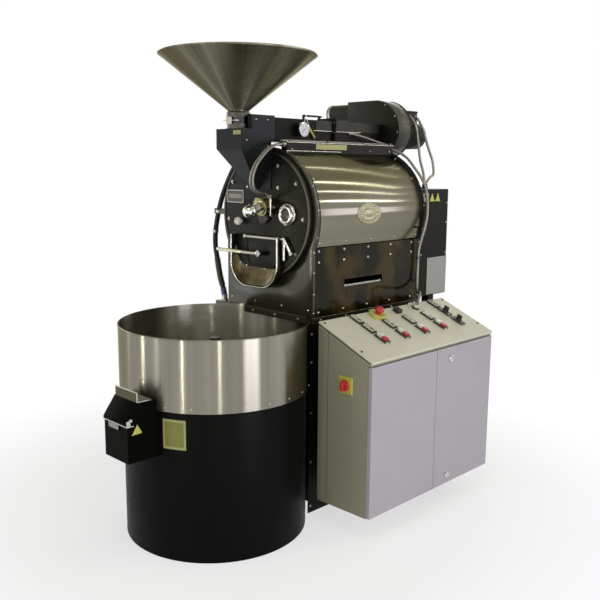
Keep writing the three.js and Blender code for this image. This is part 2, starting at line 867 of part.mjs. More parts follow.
function sampleTrier() {
  const inner = rod(trierPoint(-trierReach), trierPoint(trierCollar), trierRadius);
  const scoop = rod(trierPoint(-trierReach - overrun), trierPoint(-trierReach + trierTroughLength), trierRadius * 0.7);
  const shelf = new THREE.BoxGeometry(trierRadius * 3, trierTroughLength, trierRadius * 2);
  const middle = trierPoint(-trierReach + trierTroughLength / 2 - overrun);
  shelf.rotateX(trierLean).translate(middle[0], middle[1], middle[2] + trierRadius);
  const trough = cut(inner, scoop, shelf);
  const collar = rod(trierPoint(trierBushLength + seatGap), trierPoint(trierCollar), trierRadius * 1.5);
  const stick = rod(trierPoint(trierCollar), trierPoint(trierCollar + trierStick), trierRadius);
  const knobAt = trierPoint(trierCollar + trierStick + trierKnobRadius / 2);
  const knob = new THREE.SphereGeometry(trierKnobRadius, smallSides, cordSides).translate(...knobAt);
  return join(trough, collar, stick, knob);
}

function ductThermometer() {
  const dialBack = ductRight + dialStemLength;
  const dial = rod([dialBack, dialY, dialZ], [dialBack + dialDepth, dialY, dialZ], dialRadius, midSides);
  const dialStem = rod([ductRight + seatGap, dialY, dialZ], [dialBack + overrun, dialY, dialZ], dialStemRadius);
  return join(dial, dialStem);
}

// Thermocouple in the front casting, with its armoured leads up to the trunking.
function thermocouple() {
  const rodY = castingFront - probeStand;
  const stem = rod([probeX, rodY, probeZ], [probeX, probeStemReach, probeZ], probeStemRadius);
  const head = rod([probeX, rodY, probeBottom], [probeX, rodY, probeTop], probeHeadRadius);
  const leads = [-1, 1].map((side) => cord(probeRoute.map(([x, y, z], index) => {
    const spread = index < probeRoute.length - 2 ? side * leadHalfGap : 0;
    return [x + spread, y, z];
  }), leadRadius));
  return join(stem, head, ...leads);
}

// Feed, duct and exhaust fan

// Lower funnel of the chute, pulled in by an inset.
function chuteFunnel(inset) {
  const back = castingFront - seatGap;
  const knee = chuteKnee + inset / 4;
  return hull([
    [chuteLeft + inset, chuteFront + inset, knee], [chuteRight - inset, chuteFront + inset, knee],
    [chuteLeft + inset, back, knee], [chuteRight - inset, back, knee],
    [chuteTipLeft + inset, back - chuteTipDepth + inset, chuteTipZ + inset],
    [chuteTipRight - inset, back - chuteTipDepth + inset, chuteTipZ + inset],
    [chuteTipLeft + inset, back, chuteTipZ + inset], [chuteTipRight - inset, back, chuteTipZ + inset],
  ]);
}

function feedChute() {
  const back = castingFront - seatGap;
  const sheet = chuteSheet;
  const upper = box(chuteLeft, chuteFront, chuteKnee, chuteRight, back, chuteTop);
  const riser = box(chuteLeft, riserFront, chuteTop - overrun, chuteRight, back, riserTop);
  const throat = box(ductLeft - sheet, back - overrun, ductBottom, chuteRight, riserRear, riserTop);
  const upperRoom = box(
    chuteLeft + sheet, chuteFront + sheet, chuteKnee - overrun, chuteRight - sheet, back - sheet, chuteTop - sheet,
  );
  const riserRoom = box(
    chuteLeft + sheet, riserFront + sheet, chuteTop - overrun * 2, chuteRight - sheet, back - sheet, riserTop - sheet,
  );
  const throatRoom = box(
    ductLeft + sheet, back - overrun * 2, ductBottom + sheet, ductRight - sheet, riserRear + overrun, riserTop - sheet * 2,
  );
  const neckHole = rod(
    [hopperX, hopperY, chuteTop - sheet - overrun], [hopperX, hopperY, riserTop + overrun],
    neckRadius - neckSheet, midSides,
  );
  const neckWell = rod(
    [hopperX, hopperY, chuteTop], [hopperX, hopperY, riserTop + overrun],
    neckRadius + neckFlange + runGap, midSides,
  );
  const wellFront = box(
    chuteLeft - overrun, hopperY - neckRadius - neckFlange, chuteTop,
    chuteRight + overrun, riserFront, riserTop + overrun,
  );
  const solid = join(upper, chuteFunnel(0), riser, throat);
  const wellWall = cut(
    rod(
      [hopperX, hopperY, chuteTop - sheet], [hopperX, hopperY, riserTop],
      neckRadius + neckFlange + runGap + sheet, midSides,
    ),
    box(
      chuteLeft, chuteFront - neckRadius, chuteTop - overrun, chuteRight, riserFront, riserTop + overrun,
    ),
  );
  const rooms = cut(join(upperRoom, chuteFunnel(sheet), riserRoom, throatRoom), wellWall);
  const backWall = box(chuteLeft, back - sheet, chuteTipZ, chuteRight, back, chuteKnee);
  const feed = box(feedLeft, back - sheet * 2, feedSlotBottom, feedRight, back + overrun, feedSlotTop);
  return cut(join(cut(solid, rooms), backWall), feed, neckHole, neckWell, wellFront);
}

function hopper() {
  const sheet = neckSheet;
  const base = chuteTop + seatGap;
  const flangeTop = base + sheet;
  const inner = neckRadius - sheet;
  const profile = [
    [inner, base], [neckRadius + neckFlange, base], [neckRadius + neckFlange, flangeTop],
    [neckRadius, flangeTop], [neckRadius, neckTop],
    [hopperRimRadius, hopperRimZ - rimRollRadius], [hopperRimRadius + rimRollRadius / 2, hopperRimZ],
    [hopperRimRadius - rimRollRadius, hopperRimZ + rimRollRadius / 2],
    [hopperRimRadius - sheet * 2, hopperRimZ - rimRollRadius / 2],
    [inner, neckTop + sheet], [inner, base],
  ];
  const cone = turned(profile).translate(hopperX, hopperY, 0);
  const slot = box(
    hopperX - gateHalfWidth - slideGap, hopperY - neckRadius - overrun, gateZ - gateSheet / 2 - slideGap,
    hopperX + gateHalfWidth + slideGap, hopperY + gateHalfWidth + slideGap, gateZ + gateSheet / 2 + slideGap,
  );
  return cut(cone, slot);
}

function slideGate() {
  const low = gateZ - gateSheet / 2;
  const high = gateZ + gateSheet / 2;
  const front = hopperY - neckRadius - gateTabReach;
  const blade = box(
    hopperX - gateHalfWidth, front + gateSheet / 2, low, hopperX + gateHalfWidth, hopperY, high,
  );
  const nose = toSolid(rod([hopperX, hopperY, low], [hopperX, hopperY, high], gateHalfWidth, midSides));
  const tab = box(
    hopperX - gateTabWidth / 2, front, gateZ - gateTabHeight / 2,
    hopperX + gateTabWidth / 2, front + gateSheet, gateZ + gateTabHeight / 2,
  );
  return join(blade, nose, tab);
}

function exhaustDuct() {
  const start = riserRear + seatGap;
  const end = fanFront - seatGap;
  const outer = box(ductLeft, start, ductBottom, ductRight, end, ductTop);
  const room = box(
    ductLeft + ductSheet, start - overrun, ductBottom + ductSheet,
    ductRight - ductSheet, end + overrun, ductTop - ductSheet,
  );
  const spindle = rod(
    [ductLeft + overrun, damperY, damperZ], [ductRight + overrun, damperY, damperZ],
    damperShaftRadius + seatGap, midSides,
  );
  return cut(outer, room, spindle);
}

function damperLever() {
  const group = [];
  const side = ductRight + overrun;
  const inner = ductSheet + runGap;
  const shaft = rod([ductLeft + inner, 0, 0], [side + damperArmWidth, 0, 0], damperShaftRadius);
  const blade = box(
    ductLeft + inner, -damperSheet / 2, -damperBlade, ductRight - inner, damperSheet / 2, 0,
  );
  const arm = box(side, -damperArmWidth / 2, -damperArm, side + damperSheet, damperArmWidth / 2, 0);
  const ringZ = damperRingRadius;
  const ring = new THREE.TorusGeometry(damperRingRadius, damperRingTube, cordSides, smallSides)
    .rotateY(Math.PI / 2).translate(side + damperSheet, 0, ringZ);
  group.push(shaft, blade, arm, ring);
  const whole = toGeometry(join(...group));
  return whole.rotateX(damperRest).translate(0, damperY, damperZ);
}

// Volute outline about the fan's axis, pulled in by an inset.
function volute(inset) {
  const turn = Math.PI * 1.5;
  const steps = midSides;
  const start = Math.PI * 1.0;
  const points = Array.from({ length: steps + 1 }, (unused, step) => {
    const angle = start + turn * step / steps;
    const grown = Math.max((step / steps - 1 / 3) * 3 / 2, voluteTongueShare);
    const radius = fanRadiusBottom + (fanRadiusTop - fanRadiusBottom) * grown - inset;
    return [fanX + radius * Math.cos(angle), fanZ + radius * Math.sin(angle)];
  });
  const top = fanZ + fanRadiusTop - inset;
  const low = fanZ + fanRadiusTop - fanOutletHeight + inset;
  return [...points, [fanOutletLeft + inset, top], [fanOutletLeft + inset, low], [fanX - fanRadiusBottom + inset, low]];
}

function fanScroll() {
  const shell = plateXZ(volute(0), fanFront, fanRear);
  const room = plateXZ(volute(fanSheet), fanFront + fanSheet, fanRear - fanSheet);
  const intake = rod([fanX, fanFront - overrun, fanZ], [fanX, fanFront + overrun, fanZ], fanIntakeRadius, midSides);
  const hub = rod(
    [fanX, fanRear - overrun, fanZ], [fanX, fanRear + overrun, fanZ], fanShaftRadius + runGap, midSides,
  );
  const pipeY0 = (fanFront + fanRear) / 2;
  const pipeZ0 = fanZ + fanRadiusTop - fanOutletHeight / 2;
  const end = fanOutletLeft - outletPipeLength;
  const pipe = rod([fanOutletLeft + overrun, pipeY0, pipeZ0], [end, pipeY0, pipeZ0], outletPipeRadius, midSides);
  const bore = rod(
    [fanOutletLeft + overrun + fanSheet, pipeY0, pipeZ0], [end - overrun, pipeY0, pipeZ0],
    outletPipeRadius - fanSheet, midSides,
  );
  return cut(join(shell, pipe), room, intake, hub, bore);
}

function fanImpeller() {
  const start = fanFront + fanSheet + runGap * 4;
  const end = start + impellerDepth;
  const backDisc = rod([fanX, end - fanSheet, fanZ], [fanX, end, fanZ], impellerRadius, midSides);
  const hub = rod([fanX, end - impellerDepth / 2, fanZ], [fanX, end - fanSheet / 2, fanZ], impellerHub, midSides);
  const shaft = rod([fanX, end - fanSheet, fanZ], [fanX, fanRear + fanShaftSeat, fanZ], fanShaftRadius, midSides);
  const inner = impellerRadius - impellerBladeDepth;
  const blades = Array.from({ length: impellerBlades }, (unused, index) => {
    const angle = Math.PI * 2 * index / impellerBlades;
    const blade = box(inner, start, -impellerBladeSheet / 2, impellerRadius - runGap, end, impellerBladeSheet / 2);
    return blade.rotateY(angle).translate(fanX, 0, fanZ);
  });
  return join(backDisc, hub, shaft, ...blades);
}

function fanMotor() {
  const start = fanRear + seatGap;
  const end = start + fanMotorLength;
  const body = rod([fanX, start, fanZ], [fanX, end, fanZ], fanMotorRadius, midSides);
  const seat = rod(
    [fanX, start - overrun, fanZ], [fanX, fanRear + fanShaftSeat + runGap, fanZ], fanShaftRadius + seatGap, midSides,
  );
  const boxStart = start + terminalBoxStart;
  const top = fanZ + fanMotorRadius;
  const terminals = box(
    fanX - terminalBoxWidth / 2, boxStart, top - terminalBoxSink,
    fanX + terminalBoxWidth / 2, boxStart + terminalBoxLength, top + terminalBoxRise,
  );
  return cut(join(body, terminals), seat);
}

// Drum drive

function drum() {
  const outer = rod([0, drumFrontY, archCentreZ], [0, drumRearY, archCentreZ], drumRadius, bigSides);
  const room = rod(
    [0, drumFrontY - overrun, archCentreZ], [0, drumRearY - drumSheet, archCentreZ], drumRadius - drumSheet, bigSides,
  );
  const shaft = rod(
    [0, castingFront - frontCapDepth / 2 + runGap, archCentreZ], [0, shaftRearY, archCentreZ], shaftRadius, midSides,
  );
  const spiderY = drumFrontY + (drumRearY - drumFrontY) * spiderShare;
  const reach = drumRadius - drumSheet / 2;
  const spokes = [0, 1].map((index) => {
    const spoke = box(-reach, -spiderArm / 2, -spiderArm / 2, reach, spiderArm / 2, spiderArm / 2);
    return spoke.rotateY(Math.PI * (1 / 4 + index / 2)).translate(0, spiderY, archCentreZ);
  });
  const vanes = Array.from({ length: vaneCount }, (unused, index) => {
    const vane = box(
      reach - vaneDepth, drumFrontY + vaneEndGap, -vaneSheet / 2, reach, drumRearY - vaneEndGap, vaneSheet / 2,
    );
    return vane.rotateY(Math.PI * 2 * (index + 1 / 2) / vaneCount).translate(0, 0, archCentreZ);
  });
  const wheel = toothed(drumSprocketRadius, drumTeeth).translate(0, 0, archCentreZ);
  return join(cut(outer, room), shaft, ...spokes, ...vanes, wheel);
}

// Chain wheel about the origin with shallow teeth.
function toothed(radius, teeth) {
  const points = Array.from({ length: teeth * 2 }, (unused, index) => {
    const angle = Math.PI * index / teeth;
    const reach = index % 2 ? radius : radius - sprocketToothDepth;
    return [reach * Math.cos(angle), reach * Math.sin(angle)];
  });
  return plateXZ(points, sprocketY, sprocketY + sprocketWidth);
}

function motorSprocket() {
  const wheel = toothed(motorSprocketRadius, motorTeeth).translate(0, 0, motorZ);
  const shaft = rod([0, sprocketY - runGap, motorZ], [0, motorStart + motorShaftSeat, motorZ], motorShaftRadius, midSides);
  return join(wheel, shaft);
}

function driveChain() {
  const lean = Math.asin((drumSprocketRadius - motorSprocketRadius) / (archCentreZ - motorZ));
  const loop = (gap) => [
    ...arc(0, archCentreZ, drumSprocketRadius + gap, -lean, Math.PI + lean, midSides),
    ...arc(0, motorZ, motorSprocketRadius + gap, Math.PI + lean, Math.PI * 2 - lean, smallSides),
  ];
  const outer = plateXZ(loop(chainDepth), sprocketY, sprocketY + sprocketWidth);
  const inner = plateXZ(loop(runGap), sprocketY - overrun, sprocketY + sprocketWidth + overrun);
  return cut(outer, inner);
}

function driveMotor() {
  const body = rod([0, motorStart, motorZ], [0, motorStart + motorLength, motorZ], motorRadius, midSides);
  const seat = rod(
    [0, motorStart - overrun, motorZ], [0, motorStart + motorShaftSeat + runGap, motorZ],
    motorShaftRadius + seatGap, midSides,
  );
  const foot = box(
    -motorFootWidth / 2, motorStart + overrun, cabinetBottom + cabinetSheet + seatGap,
    motorFootWidth / 2, motorStart + motorLength - overrun, motorZ - motorRadius / 2,
  );
  return cut(join(body, foot), seat);
}

function rearCabinet() {
  const end = cabinetFront + cabinetDepth;
  const outer = box(-cabinetHalfWidth, cabinetFront, cabinetBottom, cabinetHalfWidth, end, cabinetTop);
  const room = box(
    -cabinetHalfWidth + cabinetSheet, cabinetFront - overrun, cabinetBottom + cabinetSheet,
    cabinetHalfWidth - cabinetSheet, end - cabinetSheet, cabinetTop - cabinetSheet,
  );
  return cut(outer, room);
}

// Cooling bin

function binBody() {
  const top = ringBottom - seatGap;
  const shell = turned([
    [0, 0], [binRadius, 0], [binRadius, top], [binRadius - binSheet, top], [binRadius - binSheet, binFloor], [0, binFloor],
  ]).translate(binX, binY, 0);
  const beam = box(
    binX - binRadius + binSheet / 2, binY - gearmotorBeam / 2, gearmotorBeamZ - gearmotorBeam,
    binX + binRadius - binSheet / 2, binY + gearmotorBeam / 2, gearmotorBeamZ,
  );
  return join(shell, beam);
}

function coolingRing() {
  const inner = ringRadius - ringSheet;
  const ring = turned([
    [inner - ringLedge, ringBottom], [ringRadius, ringBottom], [ringRadius, ringTop], [inner, ringTop],
    [inner, ringBottom + ringLedgeThickness], [inner - ringLedge, ringBottom + ringLedgeThickness],
    [inner - ringLedge, ringBottom],
  ]).translate(binX, binY, 0);
  const underDeck = box(
    -ringRadius * 2, -deckFrontLip - seatGap, deckBottom - seatGap,
    ringRadius * 2, ringRadius, ringTop + overrun,
  );
  const sides = box(
    bodyHalfWidth - baseSheet - runGap, ringBack - runGap, -overrun, ringRadius * 2, ringRadius, ringTop + overrun,
  );
  const mouth = box(
    outletX - outletMouthWidth / 2, binY - ringRadius - overrun, ringBottom + ringLedgeThickness,
    outletX + outletMouthWidth / 2, binY - ringRadius / 2, outletTop - binGateInset,
  );
  return cut(ring, underDeck, sides, mouth);
}

const trayBottom = ringBottom + ringLedgeThickness + seatGap;
const trayTop = trayBottom + trayThickness;

function coolingTray() {
  const radius = ringRadius - ringSheet - runGap;
  const disc = pipeZ(binX, binY, stirrerShaftRadius + runGap, radius, trayBottom, trayTop);
  const slots = Array.from({ length: traySlots }, (unused, index) => {
    const slot = box(
      index % 2 ? traySlotInner * 2 : traySlotInner, -traySlotWidth / 2, trayBottom - overrun,
      traySlotOuter, traySlotWidth / 2, trayTop + overrun,
    );
    return slot.rotateZ(Math.PI * 2 * index / traySlots).translate(binX, binY, 0);
  });
  return cut(disc, ...slots);
}

function stirrer() {
  const hubBottom = trayTop + runGap * 2;
  const hubTop = hubBottom + stirrerHubHeight;
  const shaftBottom = gearmotorBeamZ + gearmotorHeight - stirrerShaftSeat;
  const shaft = rod([0, 0, shaftBottom], [0, 0, hubBottom + overrun], stirrerShaftRadius, midSides);
  const hub = rod([0, 0, hubBottom], [0, 0, hubTop], stirrerHubRadius, midSides);
  const postTop = hubBottom + stirrerPostHeight;
  const post = rod([0, 0, hubTop - overrun], [0, 0, postTop], stirrerPostRadius, smallSides);
  const cap = rod([0, 0, postTop - stirrerCapHeight], [0, 0, postTop], stirrerCapRadius, smallSides);
  const reach = ringRadius - ringSheet - stirrerTip;
  const armZ = hubBottom + stirrerArmHeight;
  const arms = Array.from({ length: stirrerArms }, (unused, index) => {
    const angle = stirrerRest + Math.PI * 2 * index / stirrerArms;
    const bar = box(0, -stirrerArmSide / 2, armZ - stirrerArmSide, reach, stirrerArmSide / 2, armZ);
    const paddles = Array.from({ length: paddlesPerArm }, (none, order) => {
      const outermost = reach - paddleLength / 2;
      const innermost = stirrerHubRadius + paddleLength / 2 + paddleHubGap;
      const pitch = (outermost - innermost) / (paddlesPerArm - 1 / 2);
      const at = outermost - pitch * (order + (index % 2) / 2);
      const plate = box(
        -paddleLength / 2, -paddleSheet / 2, trayTop + paddleLift,
        paddleLength / 2, paddleSheet / 2, trayTop + paddleLift + paddleHeight,
      );
      const stem = box(
        -stirrerArmSide / 2, -paddleSheet / 2, trayTop + paddleLift + paddleHeight / 2,
        stirrerArmSide / 2, paddleSheet / 2, armZ - stirrerArmSide / 2,
      );
      return join(plate, stem).rotate([0, 0, THREE.MathUtils.radToDeg(paddleTurn)]).translate([at, 0, 0]);
    });
    return join(bar, ...paddles).rotate([0, 0, THREE.MathUtils.radToDeg(angle)]);
  });
  return join(shaft, hub, post, cap, ...arms).translate([binX, binY, 0]);
}

function stirrerGearmotor() {
  const bottom = gearmotorBeamZ + seatGap;
  const top = bottom + gearmotorHeight - seatGap;
  const body = rod([binX, binY, bottom], [binX, binY, top], gearmotorRadius, midSides);
  const gearbox = box(
    binX - gearmotorRadius, binY - gearmotorRadius, bottom, binX + gearmotorRadius, binY + gearmotorRadius,
    bottom + gearmotorHeight / 2,
  );
  const seat = rod(
    [binX, binY, top - stirrerShaftSeat - runGap], [binX, binY, top + overrun], stirrerShaftRadius + seatGap, midSides,
  );
  return cut(join(body, gearbox), seat);
}

function outletChute() {
  const left = outletX - outletWidth / 2;
  const right = outletX + outletWidth / 2;
  const slotFront = binY - ringRadius - binGateSheet - runGap * 3;
  const profile = (inset, drop) => [
    [binY, outletTop - inset], [outletShoulder + inset / 2, outletTop - inset],
    [outletFront + inset, outletNose - inset / 2], [outletFront + inset, outletBottom - drop], [binY, outletBottom - drop],
  ];
  const shell = plateYZ(profile(0, 0), left, right);
  const room = plateYZ(profile(outletSheet, overrun), left + outletSheet, right - outletSheet);
  const ringSpace = rod(
    [binX, binY, ringBottom - seatGap - runGap], [binX, binY, outletTop + overrun], ringRadius + seatGap, bigSides,
  );
  const bodySpace = rod([binX, binY, 0], [binX, binY, outletTop], binRadius + seatGap, bigSides);
  const gateSlot = box(
    left + outletSheet, slotFront, outletTop - outletSheet - overrun,
    right - outletSheet, binY - ringRadius + overrun * 3, outletTop + overrun,
  );
  return cut(shell, room, ringSpace, bodySpace, gateSlot);
}

function binGate() {
  const left = outletX - outletWidth / 2 + outletSheet + slideGap;
  const right = outletX + outletWidth / 2 - outletSheet - slideGap;
  const back = binY - ringRadius - runGap;
  const front = back - binGateSheet;
  const shelfZ = outletTop + runGap * 2;
  const lipY = front - binGateShelf;
  const leaf = box(left, front, ringBottom + ringLedgeThickness + seatGap, right, back, shelfZ + binGateSheet);
  const shelf = box(left, lipY, shelfZ, right, back, shelfZ + binGateSheet);
  const lip = box(left, lipY, shelfZ, right, lipY + binGateSheet, shelfZ + binGateLip);
  const cheek = plateYZ([
    [back, shelfZ], [back, shelfZ + binGateSheet], [lipY, shelfZ + binGateLip], [lipY, shelfZ],
  ], right - binGateSheet, right);
  return join(leaf, shelf, lip, cheek);
}

// Console

function consoleBody() {
  const wallTop = panelHighZ - panelSheet * 2;
  const bottom = consoleBottom;
  const eaves = panelLowZ - panelLip;
  const profile = [
    [consoleLeft, bottom], [consoleRight, bottom], [consoleRight, eaves - panelSheet],
    [panelLowX - panelSheet, eaves - panelSheet], [panelLowX - panelSheet, eaves - seatGap], [consoleLeft, wallTop],
  ];
  const shell = plateXZ(profile, consoleFront, consoleRear);
  const sheet = consoleSheet;
  const room = plateXZ([
    [consoleLeft + sheet, bottom + sheet], [consoleRight + overrun, bottom + sheet],
    [consoleRight + overrun, eaves - panelSheet - sheet * 2], [consoleRight - sheet, eaves],
    [consoleLeft + sheet, panelHighZ],
  ], consoleFront + sheet, consoleRear - sheet);
  const plateHalf = switchPlateSide / 2;
  const switchPlate = box(
    switchX - plateHalf, consoleFront - switchPlateDepth, switchZ - plateHalf,
    switchX + plateHalf, consoleFront + sheet / 2, switchZ + plateHalf,
  );
  return join(cut(shell, room), switchPlate);
}

// The panel and its controls share a frame: X down the slope, Y along it, Z out of it.
const slope = new THREE.Group();
slope.position.set(consoleLeft, consoleFront, panelHighZ);
slope.rotation.y = panelTilt;
roaster.add(slope);

function consolePanel() {
  const plate = box(0, 0, -panelSheet, panelLength, consoleLength, 0);
  const lip = box(panelLength - panelSheet, 0, -panelLip, panelLength, consoleLength, -panelSheet / 2);
  const room = box(
    panelLength - panelSheet * 3, -overrun, -panelLip * 3, panelLength - panelSheet, consoleLength + overrun, -panelSheet,
  );
  return join(cut(join(plate, lip), room), fixedControls());
}

function consoleLeaf(start, end) {
  const left = consoleRight + seatGap;
  const right = left + leafSheet;
  const rim = leafRim;
  const leaf = box(left, start, leafBottom, right, end, leafTop);
  const pan = box(left - overrun, start + rim, leafBottom + rim, right - consoleSheet, end - rim, leafTop - rim);
  return cut(leaf, pan);
}

function consoleDoorRear() {
  const leaf = consoleLeaf(leafSeamY + runGap, consoleRear - runGap);
  const holes = lockHeights.map((z) => rod(
    [consoleRight - overrun, lockY, z], [consoleRight + leafSheet + overrun, lockY, z],
    lockStemRadius + seatGap, midSides,
  ));
  return cut(leaf, ...holes);
}

function doorLock(z) {
  const face = consoleRight + seatGap + leafSheet + seatGap;
  const back = consoleRight - seatGap;
  const head = rod([face, lockY, z], [face + lockProud, lockY, z], lockRadius, midSides);
  const stem = rod([back - lockCamSheet, lockY, z], [face + lockProud / 2, lockY, z], lockStemRadius, midSides);
  const cam = box(
    back - lockCamSheet, lockY - lockStemRadius, z - lockStemRadius, back, lockY + lockCamLength, z + lockStemRadius,
  );
  return join(head, stem, cam);
}

function switchKnob() {
  const back = consoleFront - switchPlateDepth - seatGap * 2;
  const front = back - switchKnobDepth;
  const disc = rod([switchX, front + switchKnobDepth / 2, switchZ], [switchX, back, switchZ], switchKnobRadius, midSides);
  const grip = box(
    switchX - switchGripWidth / 2, front, switchZ - switchKnobRadius * 0.9,
    switchX + switchGripWidth / 2, back - switchKnobDepth / 4, switchZ + switchKnobRadius * 0.9,
  );
  return join(disc, grip);
}

function electricsBackplate() {
  const left = consoleLeft + consoleSheet + seatGap;
  const bottom = consoleBottom + backplateMargin;
  const top = leafTop - backplateMargin;
  const start = consoleFront + backplateMargin;
  const end = consoleRear - backplateMargin;
  const face = left + backplateStandoff + backplateSheet;
  const plate = box(left + backplateStandoff, start, bottom, face, end, top);
  const foot = (y, z) => box(left, y, z, face - backplateSheet / 2, y + backplateStandoff, z + backplateStandoff);
  const feet = [start + overrun, end - overrun - backplateStandoff]
    .flatMap((y) => [bottom + overrun, top - overrun - backplateStandoff].map((z) => foot(y, z)));
  const pitch = (end - start) / gearCount;
  const gear = Array.from({ length: gearCount }, (unused, index) => {
    const middle = start + pitch * (index + 1 / 2);
    const base = bottom + (top - bottom) / 2 + gearHeight * (index % 2 - 1 / 2);
    return box(face - overrun / 2, middle - gearLength / 2, base, face + gearDepth, middle + gearLength / 2, base + gearHeight);
  });
  return join(plate, ...feet, ...gear);
}

// Fixed housings of the controls, standing on the panel's face.
function controlBase(row, column, height = twinHeight) {
  const x = controlRows[row];
  const y = controlColumns[column];
  return box(x - twinLength / 2, y - twinWidth / 2, -panelSheet / 2, x + twinLength / 2, y + twinWidth / 2, height);
}

function twinHousing(column) {
  const x = controlRows[2];
  const y = controlColumns[column];
  const half = capSide / 2 + slideGap;
  const wells = [-1, 1].map((side) => {
    const centre = x + side * (capSide + capGap) / 2;
    return box(centre - half, y - half, twinHeight - capWell, centre + half, y + half, twinHeight + overrun);
  });
  return cut(controlBase(2, column), ...wells);
}

function lampHousing(row, column) {
  const x = controlRows[row];
  const y = controlColumns[column];
  const length = twinLength * lensShare / 2;
  const width = twinWidth * lensShare / 2;
  const lens = box(x - length, y - width, twinHeight / 2, x + length, y + width, twinHeight + capSink);
  return join(controlBase(row, column), lens);
}

function estopCollar() {
  const x = controlRows[0];
  const y = controlColumns[1];
  const collar = rod([x, y, -panelSheet / 2], [x, y, estopBaseHeight], estopBaseRadius, midSides);
  const well = rod([x, y, twinHeight / 2 - runGap], [x, y, estopBaseHeight + overrun], estopNeckRadius + slideGap, midSides);
  return cut(collar, well);
}

function fixedControls() {
  const twins = [0, 1, 2, 3].map(twinHousing);
  const lamps = [[0, 0], [0, 4], [1, 0], [1, 1], [1, 2], [1, 3]].map(([row, column]) => lampHousing(row, column));
  const selectors = [1, 2].map((row) => controlBase(row, 4));
  const x = controlRows[0];
  const half = twinWidth / 2;
  const buzzerY = controlColumns[2];
  const buzzer = box(x - half, buzzerY - half, -panelSheet / 2, x + half, buzzerY + half, twinHeight * 2);
  const glandY = controlColumns[3];
  const gland = rod([x, glandY, -panelSheet / 2], [x, glandY, glandHeight], glandRadius);
  return join(estopCollar(), ...twins, ...lamps, ...selectors, buzzer, gland);
}

// One push cap of a twin: side -1 is the upper, start, 1 is the lower, stop.
function pushCap(column, side) {
  const x = controlRows[2] + side * (capSide + capGap) / 2;
  const y = controlColumns[column];
  const half = capSide / 2;
  return box(x - half, y - half, twinHeight - capSink, x + half, y + half, twinHeight + capRise);
}

function selectorKnob(row) {
  const x = controlRows[row];
  const y = controlColumns[4];
  const base = twinHeight + seatGap;
  const disc = rod([x, y, base], [x, y, base + dialKnobHeight / 3], dialKnobRadius);
  const grip = box(
    x - dialKnobRadius * 0.9, y - dialKnobGrip / 2, base + dialKnobHeight / 6,
    x + dialKnobRadius * 0.9, y + dialKnobGrip / 2, base + dialKnobHeight,
  );
  return join(disc, grip);
}

function estopButton() {
  const x = controlRows[0];
  const y = controlColumns[1];
  const low = twinHeight / 2 + estopTravel;
  const headLow = estopBaseHeight + estopNeckHeight;
  const neck = rod([x, y, low], [x, y, headLow + overrun], estopNeckRadius);
  const head = turned([
    [0, headLow], [estopHeadRadius * 0.8, headLow], [estopHeadRadius, headLow + estopHeadHeight / 4],
    [estopHeadRadius * 0.95, headLow + estopHeadHeight * 0.7], [estopHeadRadius / 2, headLow + estopHeadHeight],
    [0, headLow + estopHeadHeight],
  ], midSides).translate(x, y, 0);
  return join(neck, head);
}

// Cords held at both ends

const motorLeadStart = [fanX + terminalBoxWidth / 2 + seatGap, fanRear + terminalBoxStart + terminalBoxLength / 2];

// Two conduits from the fan motor's terminal box into one gland on the rear cabinet.
function motorConduits() {
  const [startX, startY] = motorLeadStart;
  const glandTop = cabinetTop + glandHeight;
  const glandX = cabinetGlandX;
  const glandY = cabinetGlandY;
  const gland = rod([glandX, glandY, cabinetTop + seatGap], [glandX, glandY, glandTop], glandRadius);
  const runs = motorRoutes.map((route, index) => cord([
    [startX, startY + leadSpacing * (index - 1 / 2), motorLeadZ],
    [startX + conduitRadius, startY + leadSpacing * (index - 1 / 2), motorLeadZ],
    ...behindBody(route), [glandX, glandY, glandTop - overrun],
  ], conduitRadius));
  return join(gland, ...runs);
}

// Conduit from the trunking's rear end round the arch and down to the gland on the console's panel.
function panelConduit() {
  const gland = new THREE.Vector3(controlRows[0], controlColumns[3], glandHeight + seatGap);
  const above = gland.clone().setZ(glandHeight * 2);
  const ends = [above, gland].map((point) => point.applyMatrix4(slope.matrix).toArray());
  return cord([...behindBody(panelRoute), ...ends], conduitRadius);
}

// Air hose from the cover, past the end plate, down to the deck.
function sideHose() {
  const upper = hoseRoute.map(([angle, out, y]) => [
    (archRadius + out) * Math.cos(angle), y, archCentreZ + (archRadius + out) * Math.sin(angle),
  ]);
  const lower = hoseFootRoute.map(([out, y, up]) => [-bodyHalfWidth - out, y, deckTop + up]);
  const hose = cord([...upper, ...lower], hoseRadius);
  const [footX, footY] = lower[lower.length - 1];
  const foot = rod([footX, footY, deckTop + seatGap], [footX, footY, deckTop + hoseGlandHeight], hoseGlandRadius);
  const root = new THREE.Vector3(upper[0][0], 0, upper[0][2] - archCentreZ).normalize();
  const seat = (reach) => [root.x * reach, upper[0][1], archCentreZ + root.z * reach];
  const gland = rod(seat(coverRadius + seatGap * 2), seat(coverRadius + hoseGlandHeight), hoseGlandRadius);
  const start = -archRadius - seatGap * 2;
  const clamp = box(
    -archRadius - hoseClampReach, 0, hoseClampZ - hoseClampWidth / 2,
    start - hoseClampGap, plateThickness, hoseClampZ + hoseClampWidth / 2,
  );
  return join(hose, foot, gland, clamp);
}

// Build

